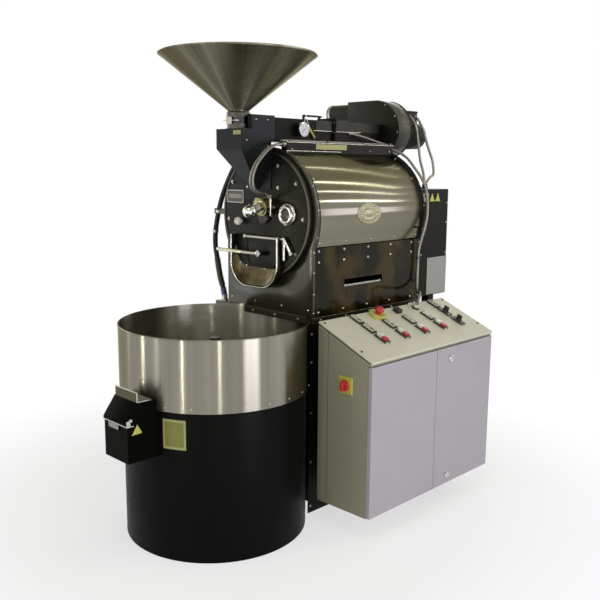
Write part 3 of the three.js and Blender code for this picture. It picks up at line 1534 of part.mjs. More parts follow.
slope.updateMatrixWorld(true);
add('base_frame', baseFrame(), materials.blackPaint);
add('deck_plate', deckPlate(), materials.blackPaint);
add('front_plate', frontPlate(), materials.blackPaint);
add('rear_plate', rearPlate(), materials.blackPaint);
add('drum_cover', drumCover(), materials.steel);
add('lower_casing', lowerCasing(), materials.blackPaint);
add('cover_trunking', coverTrunking(), materials.steel);
add('burner_tubes', burnerTubes(), materials.darkSteel);
add('front_casting', frontCasting(), materials.castIron);
add('rear_bearing', rearBearing(), materials.castIron);
add('discharge_spout', dischargeSpout(), materials.polished);
add('discharge_door', dischargeDoor(), materials.darkSteel);
add('latch_lever', latchLever(), materials.polished);
add('sight_glass', sightGlass(), materials.polished);
add('trier_bushing', trierBushing(), materials.brass);
add('sample_trier', sampleTrier(), materials.polished);
add('thermocouple', thermocouple(), materials.braid);
add('duct_thermometer', ductThermometer(), materials.polished);
add('feed_chute', feedChute(), materials.blackPaint);
add('hopper', hopper(), materials.steel);
add('slide_gate', slideGate(), materials.steel);
add('exhaust_duct', exhaustDuct(), materials.blackPaint);
add('damper_lever', damperLever(), materials.darkSteel);
add('fan_scroll', fanScroll(), materials.blackPaint);
add('fan_impeller', fanImpeller(), materials.darkSteel);
add('fan_motor', fanMotor(), materials.blackPaint);
add('drum', drum(), materials.darkSteel);
add('motor_sprocket', motorSprocket(), materials.darkSteel);
add('drive_chain', driveChain(), materials.darkSteel);
add('drive_motor', driveMotor(), materials.blackPaint);
add('rear_cabinet', rearCabinet(), materials.blackPaint);
add('bin_body', binBody(), materials.blackPaint);
add('cooling_ring', coolingRing(), materials.steel);
add('cooling_tray', coolingTray(), materials.steel);
add('stirrer', stirrer(), materials.steel);
add('stirrer_gearmotor', stirrerGearmotor(), materials.blackPaint);
add('outlet_chute', outletChute(), materials.blackPaint);
add('bin_gate', binGate(), materials.steel);
add('console_body', consoleBody(), materials.beige);
add('console_panel', consolePanel(), materials.beige, slope);
add('console_door_front', consoleLeaf(consoleFront + runGap, leafSeamY - runGap), materials.doorGrey);
add('console_door_rear', consoleDoorRear(), materials.doorGrey);
lockHeights.forEach((z, index) => add(`door_lock_${['lower', 'upper'][index]}`, doorLock(z), materials.polished));
add('electrics_backplate', electricsBackplate(), materials.steel);
add('main_switch_knob', switchKnob(), materials.red);
add('estop_button', estopButton(), materials.red, slope);
[0, 1, 2, 3].forEach((column) => {
  add(`start_button_${column + 1}`, pushCap(column, -1), materials.white, slope);
  add(`stop_button_${column + 1}`, pushCap(column, 1), materials.red, slope);
});
[1, 2].forEach((row) => add(`selector_knob_${row}`, selectorKnob(row), materials.blackPlastic, slope));
add('panel_conduit', panelConduit(), materials.braid);
add('motor_conduits', motorConduits(), materials.braid);
add('side_hose', sideHose(), materials.rubber);

export default roaster;
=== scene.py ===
"""Drum coffee roaster with cooling bin and control console: looks, light and camera."""

import json
import math

import bmesh
import bpy
from mathutils import Matrix, Vector

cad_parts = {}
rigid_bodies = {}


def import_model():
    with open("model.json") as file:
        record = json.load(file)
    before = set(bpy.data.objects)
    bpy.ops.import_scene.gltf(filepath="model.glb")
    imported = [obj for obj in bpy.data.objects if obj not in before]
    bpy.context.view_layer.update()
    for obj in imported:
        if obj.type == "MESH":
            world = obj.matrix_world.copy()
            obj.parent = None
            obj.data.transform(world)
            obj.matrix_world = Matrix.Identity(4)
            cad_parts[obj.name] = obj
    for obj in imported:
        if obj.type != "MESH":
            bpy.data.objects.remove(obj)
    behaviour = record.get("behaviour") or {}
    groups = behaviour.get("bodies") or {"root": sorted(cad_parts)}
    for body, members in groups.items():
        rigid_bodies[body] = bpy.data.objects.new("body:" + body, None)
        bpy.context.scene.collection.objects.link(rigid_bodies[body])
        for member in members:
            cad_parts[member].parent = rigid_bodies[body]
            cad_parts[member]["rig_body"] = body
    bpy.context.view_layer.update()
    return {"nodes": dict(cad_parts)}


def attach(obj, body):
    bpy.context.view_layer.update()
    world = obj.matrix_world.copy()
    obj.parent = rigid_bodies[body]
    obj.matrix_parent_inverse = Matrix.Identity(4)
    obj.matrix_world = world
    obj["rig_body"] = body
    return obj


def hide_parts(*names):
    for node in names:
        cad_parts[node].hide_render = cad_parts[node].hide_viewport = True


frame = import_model()
MM = 0.001
ROOT = "machine"

# ---------------------------------------------------------------- camera

CAMERA_AT = (2.32415, -2.15161, 1.39622)
CAMERA_RIGHT = Vector((0.70848, 0.70570, 0.00669))
CAMERA_UP = Vector((-0.12388, 0.11502, 0.98561))
CAMERA_BACK = Vector((0.69477, -0.69911, 0.16891))
FOCAL_PIXELS = 773.0
FRAME_PIXELS = 600.0
SENSOR = 36.0
FAR_CLIP = 60


def link(obj):
    bpy.context.scene.collection.objects.link(obj)
    return obj


def make_camera():
    data = bpy.data.cameras.new("camera")
    data.sensor_width = SENSOR
    data.lens = FOCAL_PIXELS * SENSOR / FRAME_PIXELS
    data.clip_end = FAR_CLIP
    camera = link(bpy.data.objects.new("camera", data))
    turn = Matrix((CAMERA_RIGHT, CAMERA_UP, CAMERA_BACK)).transposed()
    camera.matrix_world = Matrix.Translation(CAMERA_AT) @ turn.to_4x4()
    bpy.context.scene.camera = camera


make_camera()

# ---------------------------------------------------------------- sizes, in mm, as in the solids

RIGHT, LEFT = (1, 0, 0), (-1, 0, 0)
REAR, FRONT = (0, 1, 0), (0, -1, 0)
UP = (0, 0, 1)
DECK_TOP = 812.0
BODY_HALF = 256.5
ARCH_Z = 1196.0
ARCH_R = 280.0
COVER_R = 274.0
AXLE = (0, 0, ARCH_Z)
CASTING_Z = 1208.0
CASTING_R = 257.0
CASTING_FACE = -20
CABINET_SIDE = 256.2
CABINET_REAR = 902.3
CHAIN_Y = 720
MOTOR_Z = 932
BIN = (40.0, -316.0)
BIN_FLOOR = (*BIN, 0)
RING_R = 365.0
HOPPER = (-34.5, -126.0)
HOPPER_FOOT = (*HOPPER, 0)
DUCT_SIDE = 35.3
FAN_X, FAN_Z = -5, 1550
FAN_FRONT, FAN_REAR = 690.3, 790.3
PANEL_LEFT = 335.6
PANEL_FRONT = -48.0
PANEL_HIGH = 817.0
PANEL_LOW = (604.0, 703.0)
TILT = math.atan2(PANEL_HIGH - PANEL_LOW[1], PANEL_LOW[0] - PANEL_LEFT)
PANEL_LENGTH = math.hypot(PANEL_HIGH - PANEL_LOW[1], PANEL_LOW[0] - PANEL_LEFT)
SLOPE = Matrix.Translation((PANEL_LEFT, PANEL_FRONT, PANEL_HIGH)) @ Matrix.Rotation(TILT, 4, "Y")
ROWS = (36.0, 105.0, 179.0)
COLUMNS = (180.0, 310.0, 440.0, 568.0, 697.0)
TWIN_HEIGHT = 8.0
TWIN_HALF = (31.4, 15.4)

# ---------------------------------------------------------------- materials


def nodes_of(name):
    material = bpy.data.materials.new(name)
    material.use_nodes = True
    tree = material.node_tree
    return material, tree, tree.nodes["Principled BSDF"]


def wire(tree, node, inputs):
    """Links the inputs that are given a socket and sets the others."""
    for key, value in inputs.items():
        if isinstance(value, bpy.types.NodeSocket):
            tree.links.new(value, node.inputs[key])
        else:
            node.inputs[key].default_value = value
    return node


def add(tree, kind, inputs, **settings):
    node = tree.nodes.new(kind)
    for key, value in settings.items():
        setattr(node, key, value)
    return wire(tree, node, inputs)


def mapped(tree, scale=(1, 1, 1)):
    place = add(tree, "ShaderNodeTexCoord", {}).outputs["Object"]
    return add(tree, "ShaderNodeMapping", {"Vector": place, "Scale": scale}).outputs["Vector"]


def noise(tree, vector, scale, detail=3.0, rough=0.6):
    inputs = {"Vector": vector, "Scale": scale, "Detail": detail, "Roughness": rough}
    return add(tree, "ShaderNodeTexNoise", inputs).outputs["Fac"]


def ranged(tree, value, low, high, start=0.3, end=0.7):
    inputs = {"Value": value, "From Min": start, "From Max": end, "To Min": low, "To Max": high}
    return add(tree, "ShaderNodeMapRange", inputs).outputs["Result"]


def mixed(tree, factor, first, second):
    inputs = {"Factor": factor, "A": (*first, 1), "B": (*second, 1)}
    return add(tree, "ShaderNodeMix", inputs, data_type="RGBA").outputs["Result"]


def bumped(tree, height, strength, distance, under=None):
    inputs = {"Height": height, "Strength": strength, "Distance": distance}
    if under:
        inputs["Normal"] = under
    return add(tree, "ShaderNodeBump", inputs).outputs["Normal"]


def combined(tree, first, second, operation):
    return add(tree, "ShaderNodeMath", {0: first, 1: second}, operation=operation).outputs[0]


def vectored(tree, operation, result, inputs):
    return add(tree, "ShaderNodeVectorMath", inputs, operation=operation).outputs[result]


def tones(color, darker, lighter=None):
    """The colour made darker by one share and lighter by another, or by the same one."""
    lighter = darker if lighter is None else lighter
    return tuple(c * (1 - darker) for c in color), tuple(min(1, c * (1 + lighter)) for c in color)


def paint(name, color, rough, spread=0.10, grain=900.0, bump=0.12, coat=0.0, spec=0.5, tint=(1, 1, 1)):
    """Paint or powder coat: fine orange peel, soft cloudy change of colour and gloss."""
    material, tree, shader = nodes_of(name)
    base = mapped(tree)
    clouds = ranged(tree, noise(tree, base, 5.0, 4.0), 0, 1)
    wire(tree, shader, {
        "Base Color": mixed(tree, clouds, *tones(color, spread)),
        "Roughness": ranged(tree, noise(tree, base, 60.0), rough * 0.85, rough * 1.18),
        "Normal": bumped(tree, noise(tree, base, grain, 2.0), bump, 0.0003),
        "Coat Weight": coat, "Coat Roughness": 0.08, "Specular IOR Level": spec, "Specular Tint": (*tint, 1),
    })
    return material


def turned(tree, centre, axis):
    """Direction from an axis through a point: the same all along each straight line of a turned sheet."""
    place = add(tree, "ShaderNodeTexCoord", {}).outputs["Object"]
    shifted = vectored(tree, "SUBTRACT", "Vector", {0: place, 1: centre})
    flat = vectored(tree, "MULTIPLY", "Vector", {0: shifted, 1: {"Y": (1, 0, 1), "Z": (1, 1, 0)}[axis]})
    return vectored(tree, "NORMALIZE", "Vector", {0: flat})


def brushed(name, color, rough, stretch, axis=None, aniso=0.0, spread=0.06, centre=None, roll_marks_and_sheen=0.0, fine=9.0,
            ripple=0.0, painted_lit_side=None):
    """Brushed sheet steel: fine hair lines, cloudy tone, streaks along it that are partly marks of the rolls
    and partly painted reflection, gloss drawn out, and, when a side is given, that side painted lighter and
    the opposite side darker as painted light and shade.
    """
    material, tree, shader = nodes_of(name)
    lines = noise(tree, mapped(tree, stretch), 1.0, 5.0, 0.75)
    broad = noise(tree, mapped(tree), 2.5, 4.0)
    tone = combined(tree, ranged(tree, lines, 0.0, 0.45), ranged(tree, broad, 0.0, 0.55), "ADD")
    surface = mixed(tree, tone, *tones(color, spread))
    normal = bumped(tree, lines, 0.03, 0.0001)
    if centre:
        around = turned(tree, centre, axis)
        # Tone by bearing, the same along each line of the sheet: partly marks of the rolls, partly painted
        # reflection streaks.
        roll_and_sheen_streaks = noise(tree, around, fine, 6.0, 0.7)
        shares = [ranged(tree, roll_and_sheen_streaks, 1 - roll_marks_and_sheen, 1 + roll_marks_and_sheen)]
        # The given side painted lighter and the opposite side darker: painted light and shade.
        if painted_lit_side:
            facing = vectored(tree, "DOT_PRODUCT", "Value", {0: around, 1: painted_lit_side})
            shares.append(ranged(tree, facing, 0.55, 1.5, -0.9, 0.6))
        for share in shares:
            surface = vectored(tree, "SCALE", "Vector", {0: surface, "Scale": share})
        normal = bumped(tree, roll_and_sheen_streaks, 1.0, ripple, normal)
    wire(tree, shader, {
        "Base Color": surface, "Roughness": ranged(tree, tone, rough * 0.88, rough * 1.14, 0, 1),
        "Normal": normal, "Metallic": 1.0, "Specular Tint": (0.50, 0.48, 0.40, 1),
    })
    if axis:
        tangent = add(tree, "ShaderNodeTangent", {}, direction_type="RADIAL", axis=axis).outputs["Tangent"]
        wire(tree, shader, {"Tangent": tangent, "Anisotropic": aniso, "Anisotropic Rotation": 0.25})
    return material


def lacquer(name, low, high, rough):
    """Glossy lacquer that has browned unevenly over a warm sheet."""
    material, tree, shader = nodes_of(name)
    clouds = noise(tree, mapped(tree, (1, 2.2, 1.4)), 3.4, 3.0, 0.5)
    base = mapped(tree)
    wire(tree, shader, {
        "Base Color": mixed(tree, ranged(tree, clouds, 0, 1, 0.46, 0.60), low, high),
        "Roughness": ranged(tree, noise(tree, base, 50.0), rough * 0.85, rough * 1.3),
        "Normal": bumped(tree, noise(tree, base, 4.0, 2.0), 0.25, 0.002),
        "Coat Weight": 0.05, "Coat Roughness": 0.05, "Specular IOR Level": 0.12,
    })
    return material


def metal(name, clouds, colors, fine, rough, bump):
    """Bare metal from the values of three textures: cloudy tone, fine gloss and bump."""
    material, tree, shader = nodes_of(name)
    base = mapped(tree)
    grain = noise(tree, base, *fine)
    wire(tree, shader, {
        "Base Color": mixed(tree, ranged(tree, noise(tree, base, *clouds[:3]), 0, 1, *clouds[3:]), *colors),
        "Roughness": ranged(tree, grain, *rough),
        "Normal": bumped(tree, grain, *bump),
        "Metallic": 1.0,
    })
    return material


def plain_metal(name, color, rough, spread=0.12, bump=0.08):
    return metal(name, (40.0, 4.0, 0.6), tones(color, spread), (300.0,), (rough * 0.75, rough * 1.3),
                 (bump, 0.0002))


def stained(name, low, high, rough):
    """Steel darkened and bronzed by heat."""
    clouds = (9.0, 6.0, 0.65, 0.35, 0.65)
    return metal(name, clouds, (low, high), (180.0, 4.0), (rough * 0.7, rough * 1.35), (0.15, 0.0004))


def plastic(name, color, rough):
    material, tree, shader = nodes_of(name)
    base = mapped(tree)
    clouds = noise(tree, base, 120.0, 2.0)
    wire(tree, shader, {
        "Base Color": mixed(tree, ranged(tree, clouds, 0, 1), *tones(color, 0.07, 0.06)),
        "Roughness": ranged(tree, clouds, rough * 0.85, rough * 1.2),
        "Normal": bumped(tree, noise(tree, base, 1500.0, 2.0), 0.06, 0.0002),
    })
    return material


def braided(name, color):
    """Woven steel sleeve: two crossing families of fine ridges in object space."""
    material, tree, shader = nodes_of(name)
    waves = []
    for stretch in ((620, 380, 520), (-380, 620, 520)):
        inputs = {"Vector": mapped(tree, stretch), "Scale": 1.0, "Distortion": 1.5}
        wave = add(tree, "ShaderNodeTexWave", inputs, wave_type="BANDS", bands_direction="DIAGONAL")
        waves.append(wave.outputs["Fac"])
    both = combined(tree, *waves, "MAXIMUM")
    wire(tree, shader, {
        "Base Color": mixed(tree, both, tuple(c * 0.45 for c in color), color),
        "Roughness": ranged(tree, both, 0.55, 0.32, 0, 1),
        "Normal": bumped(tree, both, 0.5, 0.0006),
        "Metallic": 0.8,
    })
    return material


def clear_glass(name, color):
    material, tree, shader = nodes_of(name)
    smudge = noise(tree, mapped(tree), 60.0, 4.0)
    wire(tree, shader, {
        "Base Color": mixed(tree, ranged(tree, smudge, 0, 1), color, tuple(c * 0.8 for c in color)),
        "Roughness": ranged(tree, smudge, 0.02, 0.09),
        "Transmission Weight": 0.85, "IOR": 1.46,
    })
    return material


def perforated(name, color, pitch, share):
    """Steel sheet with rows of small dark holes."""
    material, tree, shader = nodes_of(name)
    inputs = {"Vector": mapped(tree, (1 / pitch,) * 3), "Scale": 1.0, "Randomness": 0.0}
    cells = add(tree, "ShaderNodeTexVoronoi", inputs, voronoi_dimensions="2D", feature="F1")
    sheet = ranged(tree, cells.outputs["Distance"], 0, 1, share * 0.42, share * 0.5)
    wire(tree, shader, {
        "Base Color": mixed(tree, sheet, (0.01, 0.01, 0.01), color),
        "Roughness": ranged(tree, sheet, 0.9, 0.3, 0, 1),
        "Normal": bumped(tree, sheet, 0.8, 0.0008),
        "Metallic": sheet,
    })
    return material


OLIVE = (1.0, 0.98, 0.78)


def olive(name, color, rough, **values):
    """Paint whose shine is tinted."""
    return paint(name, color, rough, tint=OLIVE, **values)


M = {
    "black": (olive("black_gloss", (0.024, 0.023, 0.016), 0.20, coat=0.10, spec=0.55), "black_paint"),
    "black_base": (olive("black_base", (0.006, 0.006, 0.005), 0.45, spec=0.08), "black_paint"),
    "black_bin": (paint("black_bin", (0.0028, 0.0028, 0.0026), 0.40, spec=0.05), "black_paint"),
    "outlet": (olive("outlet_black", (0.0016, 0.0016, 0.0012), 0.34, spec=0.022), "black_satin"),
    "black_satin": (olive("black_satin", (0.009, 0.009, 0.0075), 0.42, spec=0.14), "black_satin"),
    "black_fan": (olive("black_fan", (0.009, 0.009, 0.0065), 0.40, bump=0.2, spec=0.20), "black_paint"),
    # A lighter copy of the fan's black paint for its rims and wrap: painted sheen.
    "fan_edge_sheen": (olive("fan_edge_sheen", (0.017, 0.017, 0.010), 0.36, bump=0.2, spec=0.35), "black_paint"),
    "duct": (olive("duct_black", (0.004, 0.004, 0.0028), 0.36, spec=0.08), "black_paint"),
    # A lighter copy of the duct's black paint for its upper band: painted sheen.
    "duct_upper_painted_sheen": (olive("duct_upper_painted_sheen", (0.014, 0.014, 0.009), 0.36, spec=0.19), "black_paint"),
    "chute": (paint("chute_satin", (0.009, 0.0105, 0.0105), 0.34, spec=0.14), "black_paint"),
    "casing": (lacquer("casing_gloss", (0.009, 0.007, 0.0025), (0.046, 0.030, 0.007), 0.12), "black_paint"),
    "cabinet": (olive("cabinet_satin", (0.0050, 0.0050, 0.0034), 0.38, spec=0.085), "black_paint"),
    "casting": (olive("casting_black", (0.006, 0.006, 0.0045), 0.30, grain=500.0, bump=0.16, spec=0.13),
                "cast_black"),
    "cap": (paint("cap_brown", (0.026, 0.017, 0.013), 0.30, spec=0.30), "cast_black"),
    "cast_rim": (plain_metal("casting_rim", (0.085, 0.08, 0.068), 0.36), "cast_black"),
    "trunking": (olive("trunking_dark", (0.006, 0.0056, 0.0042), 0.34, spec=0.11), "brushed_steel"),
    "plate": (plain_metal("etched_plate", (0.085, 0.083, 0.07), 0.42), "dark_steel"),
    "ring": (brushed("ring_steel", (0.25, 0.24, 0.20), 0.24, (6, 6, 2600), "Z", 1.0, centre=(0.04, -0.316, 0),
                     roll_marks_and_sheen=0.14, fine=5.0, ripple=0.0003), "brushed_steel"),
    # A lighter copy of the ring's steel for its inner wall: painted reflection.
    "ring_inside_sheen": (brushed("ring_inner_painted_sheen", (0.36, 0.35, 0.30), 0.25, (6, 6, 2600), "Z", 1.0,
                            centre=(0.04, -0.316, 0), roll_marks_and_sheen=0.16, fine=5.0, ripple=0.0004), "brushed_steel"),
    "cover": (brushed("cover_steel", (0.200, 0.192, 0.148), 0.13, (6, 2600, 6), "Y", 0.9,
                      centre=(0, 0, 1.196), roll_marks_and_sheen=0.08, fine=5.0, ripple=0.00006), "brushed_steel"),
    # The hopper's lighter side towards +x+y and darker opposite side are painted light and shade; its strong
    # streaks are partly painted reflection.
    "hopper": (brushed("hopper_steel", (0.19, 0.184, 0.138), 0.28, (6, 6, 1800), "Z", 0.9, 0.10,
                       centre=(-0.0345, -0.126, 0), roll_marks_and_sheen=0.50, fine=4.0, ripple=0.0008,
                       painted_lit_side=(0.75, 0.66, 0)), "brushed_steel"),
    "neck": (plain_metal("neck_steel", (0.075, 0.066, 0.072), 0.16), "dark_steel"),
    "steel": (brushed("sheet_steel", (0.30, 0.29, 0.25), 0.30, (900, 30, 30)), "brushed_steel"),
    "gate": (brushed("gate_steel", (0.10, 0.095, 0.07), 0.30, (900, 30, 30)), "brushed_steel"),
    "polished": (plain_metal("polished_steel", (0.50, 0.49, 0.45), 0.13, 0.06), "polished_steel"),
    "chrome": (plain_metal("chrome_parts", (0.60, 0.60, 0.58), 0.08, 0.04, bump=0.02), "polished_steel"),
    "screw": (plain_metal("screw_steel", (0.42, 0.405, 0.36), 0.22, 0.10), "polished_steel"),
    "dark": (plain_metal("dark_steel_parts", (0.09, 0.086, 0.07), 0.36), "dark_steel"),
    "bronzed": (stained("bronzed_steel", (0.030, 0.026, 0.014), (0.14, 0.11, 0.055), 0.30), "dark_steel"),
    "brass": (plain_metal("turned_brass", (0.31, 0.295, 0.155), 0.20), "brass"),
    "grip": (plain_metal("pale_grip", (0.60, 0.60, 0.44), 0.24, 0.08), "brass"),
    # Violet on the hose near its foot stands for a violet highlight there: painted highlight.
    "sleeve": (plastic("violet_painted_highlight", (0.055, 0.045, 0.20), 0.35), "black_plastic"),
    "badge": (plain_metal("badge_gold", (0.27, 0.255, 0.165), 0.30), "brass"),
    # The console's body and sloping panel share one beige powder coat: the body's copy, also used for the
    # wiring ducts, is painted darker as shade, and the panel's copy lighter as painted light.
    "beige": (paint("beige_powder", (0.27, 0.265, 0.195), 0.50, 0.03, 1400.0, 0.22, spec=0.3),
              "beige_powder"),
    "panel": (paint("panel_powder_painted_lit", (0.62, 0.61, 0.465), 0.48, 0.03, 1400.0, 0.22, spec=0.3), "beige_powder"),
    "door": (paint("door_powder", (0.37, 0.352, 0.376), 0.50, 0.03, 1400.0, 0.22, spec=0.3), "door_grey"),
    "braid": (braided("braided_sleeve", (0.30, 0.285, 0.24)), "braided_conduit"),
    "rubber": (paint("hose_rubber", (0.008, 0.008, 0.009), 0.42, bump=0.3, spec=0.3), "black_rubber"),
    "gasket": (paint("gasket_rubber", (0.012, 0.012, 0.012), 0.7, spec=0.2), "black_rubber"),
    "red": (plastic("red_plastic_gloss", (0.46, 0.022, 0.022), 0.28), "red_plastic"),
    "lamp": (plastic("lamp_lens", (0.19, 0.195, 0.145), 0.22), "white_plastic"),
    "lens": (plastic("pale_lens", (0.40, 0.41, 0.31), 0.22), "white_plastic"),
    "white": (plastic("white_plastic_gloss", (0.70, 0.69, 0.62), 0.30), "white_plastic"),
    "yellow": (plastic("yellow_plastic", (0.52, 0.47, 0.07), 0.40), "white_plastic"),
    "label": (paint("pale_label", (0.36, 0.36, 0.14), 0.50, 0.10, 300.0, 0.1), "white_plastic"),
    "label_green": (paint("green_label", (0.19, 0.195, 0.04), 0.50, 0.22, 300.0, 0.1), "white_plastic"),
    "dial": (paint("dial_face", (0.66, 0.64, 0.70), 0.50, 0.04, 300.0, 0.05), "white_plastic"),
    "silver_label": (paint("silver_label", (0.27, 0.27, 0.235), 0.35, 0.06, 300.0, 0.1), "white_plastic"),
    "sticker": (paint("yellow_sticker", (0.48, 0.47, 0.07), 0.45, 0.08, 300.0, 0.1), "white_plastic"),
    "plastic": (plastic("black_plastic_matte", (0.014, 0.014, 0.013), 0.45), "black_plastic"),
    "grey_plastic": (plastic("grey_plastic", (0.032, 0.036, 0.022), 0.45), "black_plastic"),
    "glass": (clear_glass("sight_pane", (0.75, 0.72, 0.62)), "white_plastic"),
    "tray": (perforated("tray_holes", (0.26, 0.25, 0.21), 0.006, 0.62), "brushed_steel"),
}

# ---------------------------------------------------------------- mesh helpers

EDGE_ANGLE = math.radians(32)
FLAT_ANGLE = math.radians(0.6)
ON_AXIS = 1e-6
WHOLE_TURN = 2 * math.pi
SWAP_AXES = Matrix(((0, 0, 1, 0), (1, 0, 0, 0), (0, 1, 0, 0), (0, 0, 0, 1)))


def finish_piece(obj, material, body=ROOT, stands_for=(), smooth=30.0, bevel=0.0, segments=2):
    """Gives a piece its material, shading, bevel, body and the nodes it stands for."""
    made, slot = M[material]
    obj.data.materials.clear()
    obj.data.materials.append(made)
    shade(obj.data, smooth)
    if bevel:
        modifier = obj.modifiers.new("edges", "BEVEL")
        modifier.width = bevel * MM
        modifier.segments = segments
        modifier.limit_method = "ANGLE"
        modifier.angle_limit = EDGE_ANGLE
        modifier.harden_normals = True
        modifier.use_clamp_overlap = True
    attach(obj, body)
    if stands_for:
        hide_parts(*stands_for)
    return obj


def shade(mesh, angle):
    mesh.polygons.foreach_set("use_smooth", [True] * len(mesh.polygons))
    work = bmesh.new()
    work.from_mesh(mesh)
    limit = math.radians(angle)
    for edge in work.edges:
        edge.smooth = len(edge.link_faces) == 2 and edge.calc_face_angle(0) < limit
    work.to_mesh(mesh)
    work.free()


def stored(name, work):
    mesh = bpy.data.meshes.new(name)
    work.to_mesh(mesh)
    work.free()
    return link(bpy.data.objects.new(name, mesh))


def evaluated_mesh(obj):
    bpy.context.view_layer.update()
    return bpy.data.meshes.new_from_object(obj.evaluated_get(bpy.context.evaluated_depsgraph_get()))


def mesh_object(name, work, matrix=None):
    """Object from a bmesh in mm, placed by a matrix in mm."""
    bmesh.ops.remove_doubles(work, verts=work.verts, dist=0.0005)
    bmesh.ops.recalc_face_normals(work, faces=work.faces)
    if matrix is not None:
        work.transform(matrix)
    work.transform(Matrix.Scale(MM, 4))
    return stored(name, work)


def build(name, parts):
    """Object from parts, each a function that fills a bmesh and the values it takes."""
    work = bmesh.new()
    for fill, *values in parts:
        fill(work, *values)
    return mesh_object(name, work)


def piece(name, parts, material, body=ROOT, stands_for=(), smooth=30.0, bevel=0.0, segments=2):
    return finish_piece(build(name, parts), material, body, stands_for, smooth, bevel, segments)


def placed(x=0, y=0, z=0, angle=0.0, axis="Y"):
    return Matrix.Translation((x, y, z)) @ Matrix.Rotation(angle, 4, axis)


def aim(at, direction):
    """Matrix that takes +Z to a direction and the origin to a point."""
    z = Vector(direction).normalized()
    return Matrix.Translation(Vector(at)) @ z.to_track_quat("Z", "Y").to_matrix().to_4x4()


def round_angles(count):
    return [WHOLE_TURN * k / count for k in range(count)]


def lathe_into(work, profile, matrix=Matrix.Identity(4), steps=64):
    """Turns a list of (radius, height) about Z: ends on the axis close it, and other ends join each other."""
    hollow = profile[0][0] > ON_AXIS and profile[-1][0] > ON_AXIS
    if hollow and tuple(profile[0]) == tuple(profile[-1]):
        profile = profile[:-1]
    rings = []
    for radius, height in profile:
        angles = round_angles(steps) if radius > ON_AXIS else [0]
        rings.append([
            work.verts.new(matrix @ Vector((radius * math.cos(a), radius * math.sin(a), height)))
            for a in angles
        ])
    for lower, upper in zip(rings, rings[1:] + (rings[:1] if hollow else [])):
        for k in range(steps):
            after = (k + 1) % steps
            corners = []
            for ring, index in ((lower, k), (lower, after), (upper, after), (upper, k)):
                if ring[index % len(ring)] not in corners:
                    corners.append(ring[index % len(ring)])
            if len(corners) > 2:
                work.faces.new(corners)


def lathe(name, profile, at, direction, material, body=ROOT, steps=64, stands_for=(), smooth=30.0):
    return piece(name, [(lathe_into, profile, aim(at, direction), steps)], material, body, stands_for, smooth)


def box_into(work, low, high, matrix=Matrix.Identity(4)):
    low, high = Vector(low), Vector(high)
    corners = [
        work.verts.new(matrix @ Vector((x, y, z)))
        for x in (low.x, high.x) for y in (low.y, high.y) for z in (low.z, high.z)
    ]
    for face in ((0, 1, 3, 2), (4, 6, 7, 5), (0, 4, 5, 1), (2, 3, 7, 6), (0, 2, 6, 4), (1, 5, 7, 3)):
        work.faces.new([corners[i] for i in face])


def boxes(name, pairs, material, body=ROOT, bevel=0.8, matrix=Matrix.Identity(4), stands_for=(), segments=2):
    parts = [(box_into, low, high, matrix) for low, high in pairs]
    return piece(name, parts, material, body, stands_for, 30, bevel, segments)


def outline_object(name, outlines, depth, matrix, edge=0.6):
    """Flat plate from closed outlines in mm, holes included, with eased edges."""
    data = bpy.data.curves.new(name, "CURVE")
    data.dimensions = "2D"
    data.fill_mode = "BOTH"
    data.extrude = max(depth / 2 - edge, 0.01) * MM
    data.bevel_depth = edge * MM
    data.bevel_resolution = 1
    for outline in outlines:
        spline = data.splines.new("POLY")
        spline.points.add(len(outline) - 1)
        for point, (x, y) in zip(spline.points, outline):
            point.co = (x * MM, y * MM, 0, 1)
        spline.use_cyclic_u = True
    curve = link(bpy.data.objects.new(name + "_curve", data))
    mesh = evaluated_mesh(curve)
    bpy.data.objects.remove(curve)
    bpy.data.curves.remove(data)
    work = bmesh.new()
    work.from_mesh(mesh)
    bpy.data.meshes.remove(mesh)
    work.transform(Matrix.Scale(1000, 4))
    return mesh_object(name, work, matrix)


def flat(name, outlines, depth, matrix, edge, material, body=ROOT, stands_for=(), smooth=30.0):
    return finish_piece(outline_object(name, outlines, depth, matrix, edge), material, body, stands_for,
                        smooth)


def circle(cx, cy, radius, steps=48, start=0.0, end=WHOLE_TURN):
    whole = abs(end - start - WHOLE_TURN) < 1e-6
    angles = [start + (end - start) * k / steps for k in range(steps if whole else steps + 1)]
    return [(cx + radius * math.cos(a), cy + radius * math.sin(a)) for a in angles]


# Planes: an outline in (x, z), (y, z) or (x, y), with its depth centred on a value of the third axis.
def facing_front(y):
    return placed(0, y, 0, math.pi / 2, "X")


def facing_side(x):
    return Matrix.Translation((x, 0, 0)) @ SWAP_AXES


def catmull(points, steps=10):
    """Centripetal curve through the points, as in the solids."""
    route = [Vector(p) for p in points]
    padded = [route[0] * 2 - route[1], *route, route[-1] * 2 - route[-2]]
    result = []

    def between(first, second, start, end, t):
        return first * ((end - t) / (end - start)) + second * ((t - start) / (end - start))

    for k in range(1, len(padded) - 2):
        p0, p1, p2, p3 = padded[k - 1:k + 3]
        times = [0.0]
        for before, after in ((p0, p1), (p1, p2), (p2, p3)):
            times.append(times[-1] + max((after - before).length, 1e-9) ** 0.5)
        t0, t1, t2, t3 = times
        for step in range(steps):
            t = t1 + (t2 - t1) * step / steps
            a1, a2, a3 = between(p0, p1, t0, t1, t), between(p1, p2, t1, t2, t), between(p2, p3, t2, t3, t)
            b1, b2 = between(a1, a2, t0, t2, t), between(a2, a3, t1, t3, t)
            result.append(between(b1, b2, t1, t2, t))
    result.append(route[-1])
    return result


